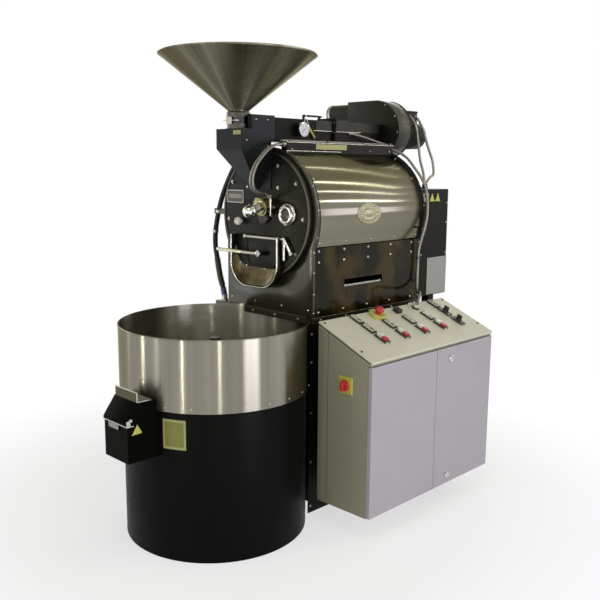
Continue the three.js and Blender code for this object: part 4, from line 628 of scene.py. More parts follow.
def tube_into(work, points, radius, sides=16, closed=False):
    """Round tube along points, with frames carried along the path."""
    count = len(points)
    tangents = []
    for k in range(count):
        before = points[(k - 1) % count] if closed or k else points[k]
        after = points[(k + 1) % count] if closed or k < count - 1 else points[k]
        tangents.append((after - before).normalized())
    side = tangents[0].orthogonal().normalized()
    rings = []
    for point, tangent in zip(points, tangents):
        side = (side - tangent * side.dot(tangent)).normalized()
        other = tangent.cross(side)
        rings.append([
            work.verts.new(point + (side * math.cos(a) + other * math.sin(a)) * radius)
            for a in round_angles(sides)
        ])
    for lower, upper in zip(rings, rings[1:] + (rings[:1] if closed else [])):
        for s in range(sides):
            work.faces.new((lower[s], lower[(s + 1) % sides], upper[(s + 1) % sides], upper[s]))
    if not closed:
        work.faces.new(rings[0][::-1])
        work.faces.new(rings[-1])


def bar(work, start, end, radius, sides=24, ease=0.8):
    """Turned bar with eased ends."""
    start, end = Vector(start), Vector(end)
    length = (end - start).length
    profile = [
        (0, 0), (radius - ease, 0), (radius, ease), (radius, length - ease), (radius - ease, length),
        (0, length),
    ]
    lathe_into(work, profile, aim(start, end - start), sides)


def bars(name, spans, radius, material, body=ROOT, stands_for=(), sides=24, ease=0.8):
    return piece(name, [(bar, *span, radius, sides, ease) for span in spans], material, body, stands_for)


def screws(name, places, radius, material="screw"):
    """Button heads with hexagon sockets, seated on the faces they hold."""
    profile = [(radius * r, radius * h) for r, h in (
        (1, 0), (1, 0.1925), (0.86, 0.4125), (0.62, 0.55), (0.42, 0.55), (0.40, 0.1925), (0, 0.165),
    )]
    profile[0] = (radius, -0.3)
    return piece(name, [(lathe_into, profile, aim(*place), 20) for place in places], material, smooth=40)


def hex_bolts(name, places, radius):
    """Hexagon heads on washers."""
    washer = [(0, 0), (radius * 1.25, 0), (radius * 1.25, 1.2), (0, 1.2)]
    head = [(0, 1.2), (radius, 1.2), (radius, radius * 0.75), (radius * 0.8, radius * 0.9), (0, radius * 0.9)]
    parts = [
        (lathe_into, profile, aim(*place), steps)
        for place in places for profile, steps in ((washer, 24), (head, 6))
    ]
    return piece(name, parts, "screw", smooth=40)


def dress(node, material, bevel=0.8, segments=2):
    """Fine copy of a node with eased edges, standing for it."""
    source = frame["nodes"][node]
    work = bmesh.new()
    work.from_mesh(source.data)
    bmesh.ops.remove_doubles(work, verts=work.verts, dist=2e-6)
    bmesh.ops.dissolve_limit(work, angle_limit=FLAT_ANGLE, verts=work.verts, edges=work.edges)
    bmesh.ops.connect_verts_concave(work, faces=work.faces)
    return finish_piece(stored(node + "_fine", work), material, source["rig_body"], (node,), 30.0, bevel,
                        segments)


def cut_with(target, cutters):
    """Takes other pieces out of one, at once; the cutters are removed."""
    for other in cutters:
        modifier = target.modifiers.new("cut", "BOOLEAN")
        modifier.operation = "DIFFERENCE"
        modifier.object = other
        modifier.solver = "EXACT"
    mesh = evaluated_mesh(target)
    target.modifiers.clear()
    old = target.data
    target.data = mesh
    bpy.data.meshes.remove(old)
    for other in cutters:
        bpy.data.objects.remove(other)


def cutter(*part):
    return build("cutter", [part])


# ---------------------------------------------------------------- conduits, leads and hose

LEAD_ROUTE = [
    (82, 9.6, 1486), (82, -10, 1487), (80, -62, 1474), (76, -106, 1438), (72, -136, 1400),
    (68, -150, 1352), (64, -140, 1314), (62, -108, 1298), (60, -76, 1294), (60, -46, 1282),
]
PANEL_ROUTE = [
    (82, 680.4, 1481), (84, 690, 1480.6), (95, 699, 1477), (120, 706, 1465), (158, 712, 1440),
    (200, 714, 1396), (242, 712, 1350), (268, 709, 1304), (284, 702, 1240), (290, 690, 1172),
    (284, 672, 1100), (274, 662, 1040), (272, 660, 950), (279, 649, 894), (302, 618, 866),
    (340, 577, 864), (372, 545, 868), (385, 527, 859),
]
HOSE_ROUTE = [
    (-112, 45, 1450), (-127, 42, 1476), (-150, 30, 1466), (-182, 14, 1432), (-215, 6, 1398),
    (-262, 5, 1332), (-297, 5, 1272), (-323, 5, 1207), (-346, 5, 1119), (-352, 8, 1053), (-345, 14, 985),
    (-339, 22, 917), (-322, 26, 860), (-312, 26, 820),
]
MOTOR_ROUTES = [
    [(66, 850, 1632), (92, 852, 1596), (108, 856, 1520), (122, 860, 1430), (138, 862, 1380)],
    [(70, 886, 1634), (96, 900, 1590), (100, 945, 1500), (104, 982, 1430), (122, 968, 1372),
     (142, 910, 1352)],
]
MOTOR_START = (40.3, 872.8, 1636)
MOTOR_GAP = 32
CABINET_GLAND = (150, 862)
PROBE = (60, -44)
LEAD_GAP = 8
PANEL_ENDS = (44.0, 22.3)
HOSE_ELBOW_END = 27
CONDUIT_CLIPS = ((274, 708, 1272), (284, 686, 1128), (273, 661, 1000), (272.5, 658, 900))


def fittings(work, at, direction, radius, length=16.0):
    """Threaded gland with a hexagon nut at a conduit's end."""
    matrix = aim(at, direction)
    body = ((1.02, 0), (1.5, 0), (1.5, 0.45), (1.3, 0.55), (1.3, 0.9), (1.05, 1), (1.02, 1))
    nut = ((1.2, 0.1), (1.9, 0.1), (1.9, 0.42), (1.2, 0.42))
    for profile, steps in ((body, 20), (nut, 6)):
        lathe_into(work, [(radius * r, length * h) for r, h in profile], matrix, steps)


def cord(name, route, radius, material, node, sides=16):
    """Hose or conduit along the route between its ends, standing for a node."""
    points = catmull(route)
    made = piece(name, [(tube_into, points, radius, sides)], material, stands_for=(node,), smooth=45)


def make_leads():
    for name, side in (("left", -1), ("right", 1)):
        spread = [side * LEAD_GAP] * (len(LEAD_ROUTE) - 2) + [0, 0]
        lead = [(x + off, y, z) for off, (x, y, z) in zip(spread, LEAD_ROUTE)]
        cord("probe_lead_" + name, lead, 4.6, "braid", "thermocouple")
    x, y = PROBE
    stem = [(bar, (x, y, low), (x, y, high), radius) for low, high, radius in (
        (1206, 1240, 4.0), (1238, 1270, 6.4), (1268, 1288, 5.0),
    )]
    piece("probe_head", [
        *stem, (bar, (x, y, 1240), (x, 58, 1240), 4.0),
        (lathe_into, [(4.5, 0), (11, 0), (11, 9), (4.5, 9)], aim((x, -20.3, 1240), FRONT), 6),
        (fittings, (x, -58, 1288), (0, 1, -0.8), 5.0),
    ], "screw")
    lead_x = LEAD_ROUTE[0][0]
    glands = [(fittings, (lead_x + side * LEAD_GAP, -6, 1486.5), REAR, 5.0) for side in (-1, 1)]
    piece("probe_lead_glands", glands, "screw")


def make_panel_conduit():
    ends = [SLOPE @ Vector((ROWS[0], COLUMNS[3], height)) for height in PANEL_ENDS]
    cord("panel_conduit_fine", [*PANEL_ROUTE, *ends], 6.0, "braid", "panel_conduit")
    piece("panel_conduit_gland", [(fittings, (82, 690, 1480.5), FRONT, 6.0)], "screw")
    clip = [(6.3, -5), (8.2, -5), (8.2, 5), (6.3, 5)]
    piece("conduit_clips", [(lathe_into, clip, aim(at, (0, 0.15, 1)), 20) for at in CONDUIT_CLIPS], "dark")


def make_motor_conduits():
    x, y, z = MOTOR_START
    gx, gy = CABINET_GLAND
    sides = [y + MOTOR_GAP * (k - 0.5) for k in range(2)]
    for k, (off, route) in enumerate(zip(sides, MOTOR_ROUTES)):
        whole = [(x, off, z), (x + 6, off, z), *route, (gx, gy, 1320)]
        cord("motor_conduit_%d" % (k + 1), whole, 6.0, "braid", "motor_conduits")
    gland = [(0, 1303.3), (16, 1303.3), (16, 1309), (13, 1311), (13, 1322), (9, 1325), (0, 1325)]
    piece("motor_conduit_glands", [
        (lathe_into, gland, placed(gx, gy), 24),
        *((fittings, (x + 18, off, z), LEFT, 6.2, 17) for off in sides),
    ], "plastic")


def make_hose():
    cord("side_hose_fine", HOSE_ROUTE, 11.0, "rubber", "side_hose", 20)
    foot_x, foot_y = HOSE_ROUTE[-1][:2]
    foot = [(0, 0.3), (15, 0.3), (15, 10), (13, 12), (13, 22), (11.5, 24), (0, 24)]
    first_x, first_y, first_z = HOSE_ROUTE[0]
    root = Vector((first_x, 0, first_z - ARCH_Z)).normalized()
    reach = COVER_R + 0.6
    start = Vector((root.x * reach, first_y, ARCH_Z + root.z * reach))
    stub = [(0, 0), (15, 0), (15, 9), (12.5, 11), (12.5, 21), (0, 23)]
    piece("hose_glands", [
        (lathe_into, foot, placed(foot_x, foot_y, DECK_TOP), 24), (lathe_into, stub, aim(start, root), 24),
    ], "screw")
    route = catmull(HOSE_ROUTE)
    collar = [(12.0, -4), (14.6, -3), (14.6, 3), (12.0, 4)]
    piece("hose_elbow", [
        (tube_into, route[:HOSE_ELBOW_END + 1], 12.6, 24),
        *((lathe_into, collar, aim(route[k], route[k + 1] - route[k]), 24) for k in (3, HOSE_ELBOW_END)),
    ], "dark", smooth=45)
    sleeve = [p for p in route if 826 < p.z < 868]
    connector = [p for p in route if 872 < p.z < 1000]
    # The sleeve is coloured violet as a painted highlight.
    piece("hose_sleeve", [(tube_into, sleeve, 13.0, 24)], "sleeve", smooth=45)
    rib = [(11.2, 0), (13.4, 1.2), (14.2, 3.4), (13.4, 5.6), (11.2, 6.8)]
    ribs = [(lathe_into, rib, aim(low, high - low), 24) for low, high in zip(connector, connector[1:])]
    piece("hose_connector", ribs, "dark", smooth=50)
    boxes("hose_clamp", [((-347, -1, 1195), (-281, 11, 1219))], "dark", bevel=1.5)
    band = [(11.2, -6), (13.4, -6), (13.4, 6), (11.2, 6)]
    near = [min(HOSE_ROUTE, key=lambda p: abs(p[2] - z)) for z in (1207, 1119)]
    piece("hose_bands", [(lathe_into, band, aim(p, (-0.25, 0, -1)), 24) for p in near], "screw")


make_leads()
make_panel_conduit()
make_motor_conduits()
make_hose()

# ---------------------------------------------------------------- base, deck and housing

SIDES = ((RIGHT, 1), (LEFT, -1))
PLATE_YS = (5, 685)


def rows_of(count, first, pitch, corner, size):
    """Boxes of one size in a row that climbs by a pitch."""
    x, y = corner
    wide, deep, tall = size
    return [(box_into, (x, y, z), (x + wide, y + deep, z + tall))
            for z in (first + k * pitch for k in range(count))]


def make_body():
    dress("base_frame", "black_base", 1.2)
    side = BODY_HALF
    rear_heights = (60, 250, 425, 600, 740)
    front_heights = (30, 219, 425, 634, 748)
    screws("base_screws_right", [
        ((side, y, z), RIGHT) for y, heights in ((-4, front_heights), (667, rear_heights)) for z in heights
    ], 5.2)
    screws("base_screws_left", [((-side, y, z), LEFT) for z in rear_heights for y in (-4, 667)], 5.2)
    screws("base_screws_rear", [((x, 684, z), REAR) for z in (60, 400, 740) for x in (-236, -80, 80, 236)],
           5.2)
    boxes("base_rear_panel", [((-216, 684.2, 90), (216, 686.4, 710))], "black_satin")
    piece("base_louvres", rows_of(9, 480, 18, (-120, 686), (240, 2.6, 7)), "black_base", bevel=0.8)
    foot = [(0, 0.2), (30, 0.2), (30, 6), (22, 12), (9, 14), (9, 22), (0, 22)]
    lathe("leg_foot", foot, (216.5, 780, 0), UP, "rubber", steps=32)

    dress("deck_plate", "black", 1.4)
    screws("deck_screws_front", [((x, -6, 799), FRONT) for x in (-225, -89, 46, 181)], 5.0)
    screws("deck_screws_side", [((262, y, 799), RIGHT) for y in (40, 190, 340, 490, 650)], 5.0)
    screws("deck_screws_left", [((-262, y, 799), LEFT) for y in (90, 240, 390, 540, 650)], 5.0)

    dress("lower_casing", "casing")
    for (normal, sign), name in zip(SIDES, ("right", "left")):
        places = [((sign * side, y, z), normal) for z in (1073, 1030, 830) for y in (32, 180, 330, 480, 628)]
        screws("casing_screws_" + name, places, 5.6)
    comb = [(box_into, (246, y, 917), (251.8, y + 5.6, 926)) for y in (190 + k * 9.2 for k in range(26))]
    piece("burner_slot_comb", comb, "polished", bevel=0.5)
    boxes("burner_shield", [
        ((236, 176, 960), (238, 436, 1010)), ((236, 176, 880), (250, 436, 882)),
    ], "bronzed", bevel=0.4)
    make_cabinet()


def make_cabinet():
    dress("rear_cabinet", "cabinet", 1.4)
    side, rear = CABINET_SIDE, CABINET_REAR
    boxes("cabinet_side_plate", [((side, 751, 822), (side + 2, 902, 993))], "silver_label", bevel=0.6)
    screws("cabinet_screws", [((256, y, z), RIGHT) for y in (702, 893) for z in (1010, 1150, 1240)], 4.4)
    screws("cabinet_screws_left", [((-256, y, z), LEFT) for y in (702, 893) for z in (840, 990, 1140, 1290)],
           4.4)
    screws("cabinet_screws_rear", [((x, rear, z), REAR) for x in (-240, 0, 240) for z in (835, 1060, 1286)],
           4.4)
    boxes("cabinet_rear_lid", [((-226, rear + 0.1, 850), (226, rear + 2.1, 1272))], "black_satin")
    piece("cabinet_louvres", rows_of(8, 1130, 14, (-90, 904), (180, 2, 5)), "cabinet", bevel=0.6)
    boxes("cabinet_label", [((side, 706, 1249), (side + 0.8, 748, 1287))], "silver_label", bevel=0.3)
    for k, y in enumerate((757, 800)):
        outline = [(y, 1249), (y + 36, 1249), (y + 18, 1285)]
        flat("cabinet_triangle_%d" % k, [outline], 0.9, facing_side(side + 0.5), 0.2, "sticker")


def arch(radius, half, bottom, steps=96):
    lean = math.asin(math.sqrt(max(radius * radius - half * half, 0)) / radius)
    top = circle(0, ARCH_Z, radius, steps, -lean, math.pi + lean)
    return [(half, bottom), *top, (-half, bottom)]


def round_drum(radius, y, bearings):
    """Places on a round of the drum's axis, each with its outward direction."""
    angles = [math.radians(bearing) for bearing in bearings]
    return [
        ((math.cos(a) * radius, y, ARCH_Z + math.sin(a) * radius), (math.cos(a), 0, math.sin(a)))
        for a in angles
    ]


def make_plates():
    front_y, rear_y = PLATE_YS
    outline = arch(ARCH_R, BODY_HALF, DECK_TOP + 0.3)
    for name, y, hole, material in (
        ("front_plate", front_y, circle(0, ARCH_Z, 236, 96), "black"),
        ("rear_plate", rear_y, circle(0, ARCH_Z, 12.3, 32), "black_satin"),
    ):
        flat(name + "_fine", [outline, hole], 10, facing_front(y), 0.8, material, stands_for=(name,))
    heights = (830, 905, 990, 1070)
    screws("plate_rim_screws", round_drum(ARCH_R, front_y, (-14, 8, 28, 48, 68, 112, 132, 152, 172, 194)),
           4.0)
    screws("plate_side_screws", [((BODY_HALF, front_y, z), RIGHT) for z in heights], 4.4)
    screws("plate_side_screws_left", [((-BODY_HALF, front_y, z), LEFT) for z in heights], 4.4)
    screws("rear_rim_screws", round_drum(ARCH_R, rear_y, (-14, 8, 28, 48, 132, 152, 172, 194)), 4.0)
    screws("rear_side_screws", [((BODY_HALF, rear_y, z), RIGHT) for z in heights], 4.4)
    screws("front_plate_screws", [((x, 0, 840), FRONT) for x in (-230, -80, 80, 230)], 4.4)


MEDALLION_RELIEF = (
    (0.0, 3.6), (0.10, 3.5), (0.20, 3.2), (0.30, 2.8), (0.34, 1.6), (0.38, 1.9), (0.50, 3.0), (0.62, 3.6),
    (0.74, 3.2), (0.80, 2.2), (0.84, 1.5), (0.88, 2.6), (0.93, 3.2), (0.97, 2.8), (1.0, 1.6), (1.0, -0.6),
)
MEDALLION_Y = 312.0
MEDALLION_ANGLE = math.radians(3.4)
MEDALLION_HALVES = (74.0, 43.0)
LOBES = 18


def medallion_into(work, sectors=144):
    """Oval fluted relief bent to the cover."""
    half_y, half_arc = MEDALLION_HALVES
    rows = []
    for share, height in MEDALLION_RELIEF:
        row = []
        for a in round_angles(sectors if share else 1):
            lobes = math.cos(LOBES * a)
            edge = 1 + 0.035 * lobes * max(share - 0.75, 0) / 0.25
            y = MEDALLION_Y + half_y * share * edge * math.cos(a)
            angle = MEDALLION_ANGLE + half_arc * share * edge * math.sin(a) / COVER_R
            r = COVER_R + 0.3 + height + (0.75 * lobes if 0.4 < share < 0.8 else 0)
            row.append(work.verts.new((r * math.cos(angle), y, ARCH_Z + r * math.sin(angle))))
        rows.append(row)
    for k in range(sectors):
        work.faces.new((rows[0][0], rows[1][k], rows[1][(k + 1) % sectors]))
    for a, b in zip(rows[1:], rows[2:]):
        for k in range(sectors):
            work.faces.new((a[k], b[k], b[(k + 1) % sectors], a[(k + 1) % sectors]))


def make_cover():
    lean = math.asin((ARCH_Z - 1090) / COVER_R)

    def band(outer, inner, steps):
        return [circle(0, ARCH_Z, outer, steps, -lean, math.pi + lean)
                + circle(0, ARCH_Z, inner, steps, math.pi + lean, -lean)]

    flat("drum_cover_fine", band(COVER_R, COVER_R - 4, 120), 669.4, facing_front(345), 0.5, "cover",
         stands_for=("drum_cover",), smooth=25)
    places = [place for bearing in (199.5, -19.5) for y in (34, 190, 345, 500, 656)
              for place in round_drum(COVER_R, y, (bearing,))]
    places += [place for y in (30, 660) for place in round_drum(COVER_R, y, (35, 62, 118, 145))]
    screws("cover_screws", places, 4.2)
    for y0, y1 in ((10.6, 22), (668, 679.4)):
        flat("cover_band_%d" % y0, band(COVER_R + 1.4, COVER_R + 0.1, 96), y1 - y0,
             facing_front((y0 + y1) / 2), 0.3, "trunking", smooth=25)
    piece("oval_medallion", [(medallion_into,)], "badge", smooth=50)
    dress("cover_trunking", "trunking", 1.0)
    boxes("trunking_label", [((98.1, 176, 1470), (98.9, 364, 1491))], "label", bevel=0.3)
    bars("trunking_lips", [
        ((98.2, 6, 1495.2), (98.2, 688, 1495.2)), ((98.2, 6, 1461.4), (98.2, 330, 1461.4)),
    ], 1.6, "polished")
    bars("trunking_top_pipes", [((x, -4, 1500.6), (x, 694, 1500.6)) for x in (74, 88)], 4.4, "braid")
    clips = [((66, y, 1496.2), (96, y + 10, 1506)) for y in (30, 250, 470, 660)]
    boxes("trunking_pipe_clips", clips, "dark", bevel=1.0)
    screws("trunking_screws", [((98, y, 1468), RIGHT) for y in (40, 230, 520, 655)], 3.4)


make_body()
make_plates()
make_cover()

# ---------------------------------------------------------------- front casting and what it carries

SIGHT = (139, 1213)
TRIER_X, TRIER_Z = 22, 1252
TRIER_LEAN = math.radians(15)
SPOUT_X, SPOUT_TOP = -40, 1118
HINGE = (-30.3, 1114)
LATCH = (7, 1051)
LEVER_Y = -60.1


def make_front():
    holes = [
        [(-96, 1001), (70, 1001), (70, 1098), (-96, 1098)],
        [(-63, 1332), (-36.5, 1332), (-36.5, 1398), (-63, 1398)],
        circle(*SIGHT, 22, 48), circle(0, ARCH_Z, 12.3, 32), circle(60, 1240, 4.3, 20),
        [(TRIER_X + 10.8 * math.cos(a), 1254.8 + 14.6 * math.sin(a)) for a in round_angles(28)],
    ]
    flat("front_casting_fine", [circle(0, CASTING_Z, CASTING_R, 144), *holes], 19.7, facing_front(-10.15),
         1.2, "casting", stands_for=("front_casting",))
    lathe("casting_rim", [
        (247, 20.0), (247, 21.6), (249, 22.8), (254, 22.8), (257.0, 20.2), (257.0, 4), (256.6, 4),
        (256.6, 20.0),
    ], (0, 0, CASTING_Z), FRONT, "cast_rim", steps=160)
    lathe("front_bearing_cap", [
        (12.3, 20), (28, 20), (28, 28), (25.5, 31.5), (20, 33.5), (6, 34), (5, 32.5), (0, 32.5),
    ], AXLE, FRONT, "cap")
    hex_bolts("casting_bolts", [((x, CASTING_FACE, z), FRONT) for x, z in (
        (-101, 1317), (79, 1317), (180, 1334), (78, 1403), (219, 1197), (-197, 1335), (-222, 1180),
        (180, 1060), (-180, 1060), (-150, 1400),
    )], 6.2)
    boxes("name_plate", [((-232, -21.6, 1252), (-130, -20.1, 1300))], "plate", bevel=0.5)
    boxes("name_plate_field", [((-222, -22.1, 1268), (-140, -21.5, 1286))], "silver_label", bevel=0.3)
    frame_spans = ((-234, 1250, -128, 1253), (-234, 1299, -128, 1302), (-234, 1250, -231, 1302),
                   (-131, 1250, -128, 1302))
    boxes("name_plate_frame", [((x0, -22.6, z0), (x1, -20.1, z1)) for x0, z0, x1, z1 in frame_spans],
          "screw", bevel=0.5)
    lathe("white_knob", [
        (0, 0.2), (7, 0.2), (7, 9), (14, 12), (17, 17), (16.5, 26), (12, 31), (0, 32.5),
    ], (-142, CASTING_FACE, 1175), FRONT, "white", steps=40)

    x, z = SIGHT
    sight = (x, CASTING_FACE, z)
    lathe("sight_ring", [
        (22.2, 0.3), (45, 0.3), (45, 8), (43, 10.5), (38, 12), (36, 20), (34, 23.5), (30, 24.3),
        (26, 23.5), (23.5, 20), (22.2, 14),
    ], sight, FRONT, "polished", steps=72, stands_for=("sight_glass",), smooth=35)
    lathe("sight_pane_fine", [(0, 0.5), (22, 0.5), (22, 5.3), (0, 5.3)], sight, FRONT, "glass", steps=48)
    angles = [math.pi / 6 + a for a in round_angles(6)]
    screws("sight_screws", [((x + 41 * math.cos(a), -28.6, z + 41 * math.sin(a)), FRONT) for a in angles],
           3.2)


def trier_point(distance):
    return Vector((TRIER_X, CASTING_FACE - math.cos(TRIER_LEAN) * distance,
                   TRIER_Z - math.sin(TRIER_LEAN) * distance))


def make_trier():
    matrix = aim(trier_point(0), trier_point(1) - trier_point(0))
    bush = build("trier_bushing_fine", [(lathe_into, [
        (9.7, -34), (28, -34), (28, 40), (31.4, 42), (31.4, 50.5), (29, 52), (13, 52), (9.7, 50),
    ], matrix, 64)])
    cut_with(bush, [cutter(box_into, (-200, -20.3, 1100), (200, 200, 1400))])
    finish_piece(bush, "brass", stands_for=("trier_bushing",), smooth=35)
    piece("trier_bushing_bands", [
        *((lathe_into, [(27.5, low), (29.3, low), (29.3, low + 3), (27.5, low + 3)], matrix, 64)
          for low in (10, 26)),
        (lathe_into, [(30.8, 43), (37, 43), (38.5, 44.5), (38.5, 48), (37, 49.6), (30.8, 49.6)], matrix, 72),
    ], "brass")
    body = "sample_trier"
    scoop = build("sample_trier_fine",
                  [(lathe_into, [(0, -150), (8.9, -150), (8.9, 60), (0, 60)], matrix, 32)])
    cut_with(scoop, [
        cutter(lathe_into, [(0, -157), (7.2, -157), (7.2, -58), (0, -56)], matrix, 32),
        cutter(box_into, (-14, -9, -155), (14, 0, -60), matrix),
    ])
    finish_piece(scoop, "chrome", body, (body,), 35)
    collar = [(0, 52.4), (13.5, 52.4), (13.5, 60), (11, 62), (9, 62), (9, 84), (8, 88), (0, 88)]
    knob = [
        (0, 86), (9, 86), (11, 88), (22.5, 90), (25.5, 92), (26, 96), (25, 99), (24, 101), (24.2, 110),
        (22, 120), (17, 127.5), (9, 131.6), (0, 132.5),
    ]
    rib = [(8.5, 0), (17.5, 0), (18.6, 1.2), (18.6, 2.8), (17.5, 3.8), (8.5, 3.8)]
    ribs = [[(r, h + low) for r, h in rib] for low in (60.5 + k * 5.2 for k in range(5))]
    turned_parts = [(collar, 32), (knob, 40), *((rib, 40) for rib in ribs)]
    parts = [(lathe_into, profile, matrix, steps) for profile, steps in turned_parts]
    piece("trier_handle", parts, "chrome", body, smooth=40)


def spout_outline(inset, steps=20):
    """Left foot of the rim, down and round to its right foot."""
    half = 142 - inset
    corner = 100 - inset
    low = 1008
    left = circle(SPOUT_X - half + corner, low, corner, steps, math.pi, 1.5 * math.pi)
    right = circle(SPOUT_X + half - corner, low, corner, steps, 1.5 * math.pi, 2 * math.pi)
    return [(SPOUT_X - half, SPOUT_TOP), *left, *right, (SPOUT_X + half, SPOUT_TOP)]


def spout_floor_into(work, steps=24):
    """Sheet that falls from the casting's opening to the rim."""
    rows = []
    for k in range(steps + 1):
        x = -176 + 272 * k / steps
        away = abs(x - SPOUT_X)
        low = 1008 - math.sqrt(max(1 - max(0, (away - 38) / 98) ** 2, 0)) * 96
        lip = max(low + 60, 982 - min(away / 138, 1) * 4)
        rows.append([work.verts.new((x, y, z)) for y, z in (
            (-45.5, low + 4), (-40, low + 10), (-30, low + 34), (-22, lip), (-20.5, max(low + 66, 988)),
        )])
    for a, b in zip(rows, rows[1:]):
        for k in range(4):
            work.faces.new((a[k], b[k], b[k + 1], a[k + 1]))


def make_discharge():
    loop = spout_outline(0) + spout_outline(4)[::-1]
    flat("discharge_spout_fine", [loop], 26, facing_front(-33.3), 0.6, "dark",
         stands_for=("discharge_spout",), smooth=35)
    rim = [Vector((x, -46.6, z)) for x, z in spout_outline(2)]
    piece("spout_rim", [(tube_into, rim, 3.3, 16)], "polished", smooth=50)
    floor = build("spout_floor", [(spout_floor_into,)])
    floor.modifiers.new("sheet", "SOLIDIFY").thickness = 1.5 * MM
    finish_piece(floor, "bronzed", smooth=60)
    bolts = ((-111, 990), (-150, 1000), (1, 985), (69, 1060))
    screws("spout_bolts", [((x, CASTING_FACE, z), FRONT) for x, z in bolts], 6.0)
    make_door()
    make_lever()


def make_door():
    body = "discharge_door"
    outline = [
        (-104, 1106), (-104, 1040), *circle(-66, 1031, 38, 10, math.pi, 1.5 * math.pi)[1:],
        *circle(40, 1031, 38, 10, 1.5 * math.pi, 2 * math.pi), (78, 1106),
    ]
    inner = [(x * 0.93 - 0.9, 1050 + (z - 1050) * 0.88) for x, z in outline]
    flat("discharge_door_fine", [outline], 7, facing_front(-23.8), 1.0, "casting", body, (body,))
    flat("door_rim", [outline, inner], 2.4, facing_front(-28.2), 0.6, "casting", body)
    y, z = HINGE
    spans = ((-112, -96, 9.5), (-104, 130, 6.0), (84, 98, 9.5))
    piece("door_hinge_bar", [(bar, (x0, y, z), (x1, y, z), r) for x0, x1, r in spans], "polished", body)
    boxes("door_lugs", [((x, -27, 1096), (x + 16, -20.8, 1112)) for x in (-92, 50)], "dark", body, 1.0)
    vertical = [(118, 1120), (130, 1120), (130, 1036), (128, 1030), (120, 1030), (118, 1036)]
    slanted = [(119, 1121), (127, 1108), (160, 1062), (172, 1062), (131, 1121)]
    flat("door_cranks", [vertical], 6, facing_front(y), 1.0, "polished", body)
    flat("door_crank_slanted", [slanted], 5, facing_front(-34.0), 1.0, "polished", body)
    weight = [(0, 0), (8, 0), (9, 1), (9, 9), (8, 10), (0, 10)]
    lathe("door_crank_weight", weight, (166, -27, 1062), FRONT, "polished", body, 32)
    x, z = LATCH
    piece("latch_boss", [
        (bar, (x, -27, z), (x, -53.3, z), 6.5),
        (lathe_into, [(6, 0), (11, 0), (11, 5), (6, 5)], aim((x, -27.3, z), FRONT), 6),
    ], "casting", body)


def make_lever():
    body = "latch_lever"
    x, z = LATCH
    hub = [(0, 0), (12, 0), (13, 1), (13, 11.5), (11, 13), (0, 13)]
    swell = [(0, 0), (8.5, 0), (9.5, 3), (9.5, 14), (7, 20), (0, 20)]
    piece("latch_lever_fine", [
        (lathe_into, hub, aim((x, -53.6, z), FRONT), 32),
        (bar, (x, LEVER_Y, z), (-96, LEVER_Y, z), 6.2),
        (lathe_into, swell, aim((10, LEVER_Y, z), LEFT), 28),
    ], "polished", body, (body,), 35)
    grip = [(0, 0), (6.4, 1), (7.2, 4), (7.0, 60), (7.4, 140), (7.6, 154), (7.0, 159), (5, 161.4), (0, 161.8)]
    lathe("latch_grip", grip, (-95.6, LEVER_Y, z), LEFT, "grip", body, 32, smooth=45)


make_front()
make_trier()
make_discharge()

# ---------------------------------------------------------------- feed, duct, fan

NECK_FOOT = 1543.3
DIAL = (141, 1549)
DIAL_FACE = DUCT_SIDE + 27.9
DAMPER = (178, 1574)
DAMPER_REST = math.radians(40)
FAN_MIDDLE = (FAN_FRONT + FAN_REAR) / 2
OUTLET_X = -185
OUTLET = (OUTLET_X, FAN_MIDDLE, FAN_Z + 104)
VOLUTE_R = 95
MOTOR_REAR = 998.9


def make_feed():
    x, y = HOPPER
    lathe("hopper_fine", [
        (41, 1608), (41.6, 1611), (44, 1614.5), (303, 1817), (305.5, 1817.5), (308, 1820), (308, 1823),
        (305, 1825), (301.5, 1824.5), (300, 1822), (297.5, 1820.5), (40, 1616), (38, 1612), (38, 1608),
        (41, 1608),
    ], HOPPER_FOOT, UP, "hopper", steps=160, stands_for=("hopper",), smooth=28)
    foot = NECK_FOOT
    neck = build("hopper_neck", [(lathe_into, [
        (38, foot), (49, foot), (49, foot + 3), (41, foot + 3.4), (41, 1607.8), (38, 1607.8), (38, foot),
    ], placed(x, y), 96)])
    cut_with(neck, [cutter(box_into, (x - 36.6, y - 50, 1571.9), (x + 36.6, y, 1576.1))])
    finish_piece(neck, "neck", smooth=28)
    collar = [(41.4, 1590), (47, 1590), (47, 1604), (44, 1609), (41.4, 1609)]
    lathe("hopper_collar", collar, HOPPER_FOOT, UP, "dark", steps=72)
    band = [(41.2, 1549), (43.4, 1549), (43.4, 1562), (41.2, 1562)]
    lathe("neck_band", band, HOPPER_FOOT, UP, "dark", steps=72)
    gate = "slide_gate"
    blade = [(-36, 0), *circle(0, 0, 36, 36, 0, math.pi)[::-1], (36, -48), (-36, -48)]
    outline = [(x + px, y + py) for px, py in blade]
    flat("slide_gate_fine", [outline], 3, placed(z=1574), 0.4, "polished", gate, (gate,))
    boxes("slide_gate_tab", [((x - 15, y - 52, 1560), (x + 15, y - 46.5, 1588))], "white", gate, 1.6,
          segments=3)

    dress("feed_chute", "chute", 1.4)
    boxes("chute_label", [((-6, -178.9, 1520), (38, -178.1, 1536))], "label", bevel=0.3)
    right_side = ((-40, 1480), (-150, 1500), (-40, 1580), (-100, 1580))
    screws("chute_screws", [((-100, -28.2, 1475), LEFT), *(((40, py, pz), RIGHT) for py, pz in right_side)],
           3.6)
    angles = (0.4, 1.4, 2.4, 3.6, 4.7, 5.8)
    screws("chute_flange_screws",
           [((x + 45 * math.cos(a), y + 45 * math.sin(a), foot + 3), UP) for a in angles], 2.6)
    make_duct()


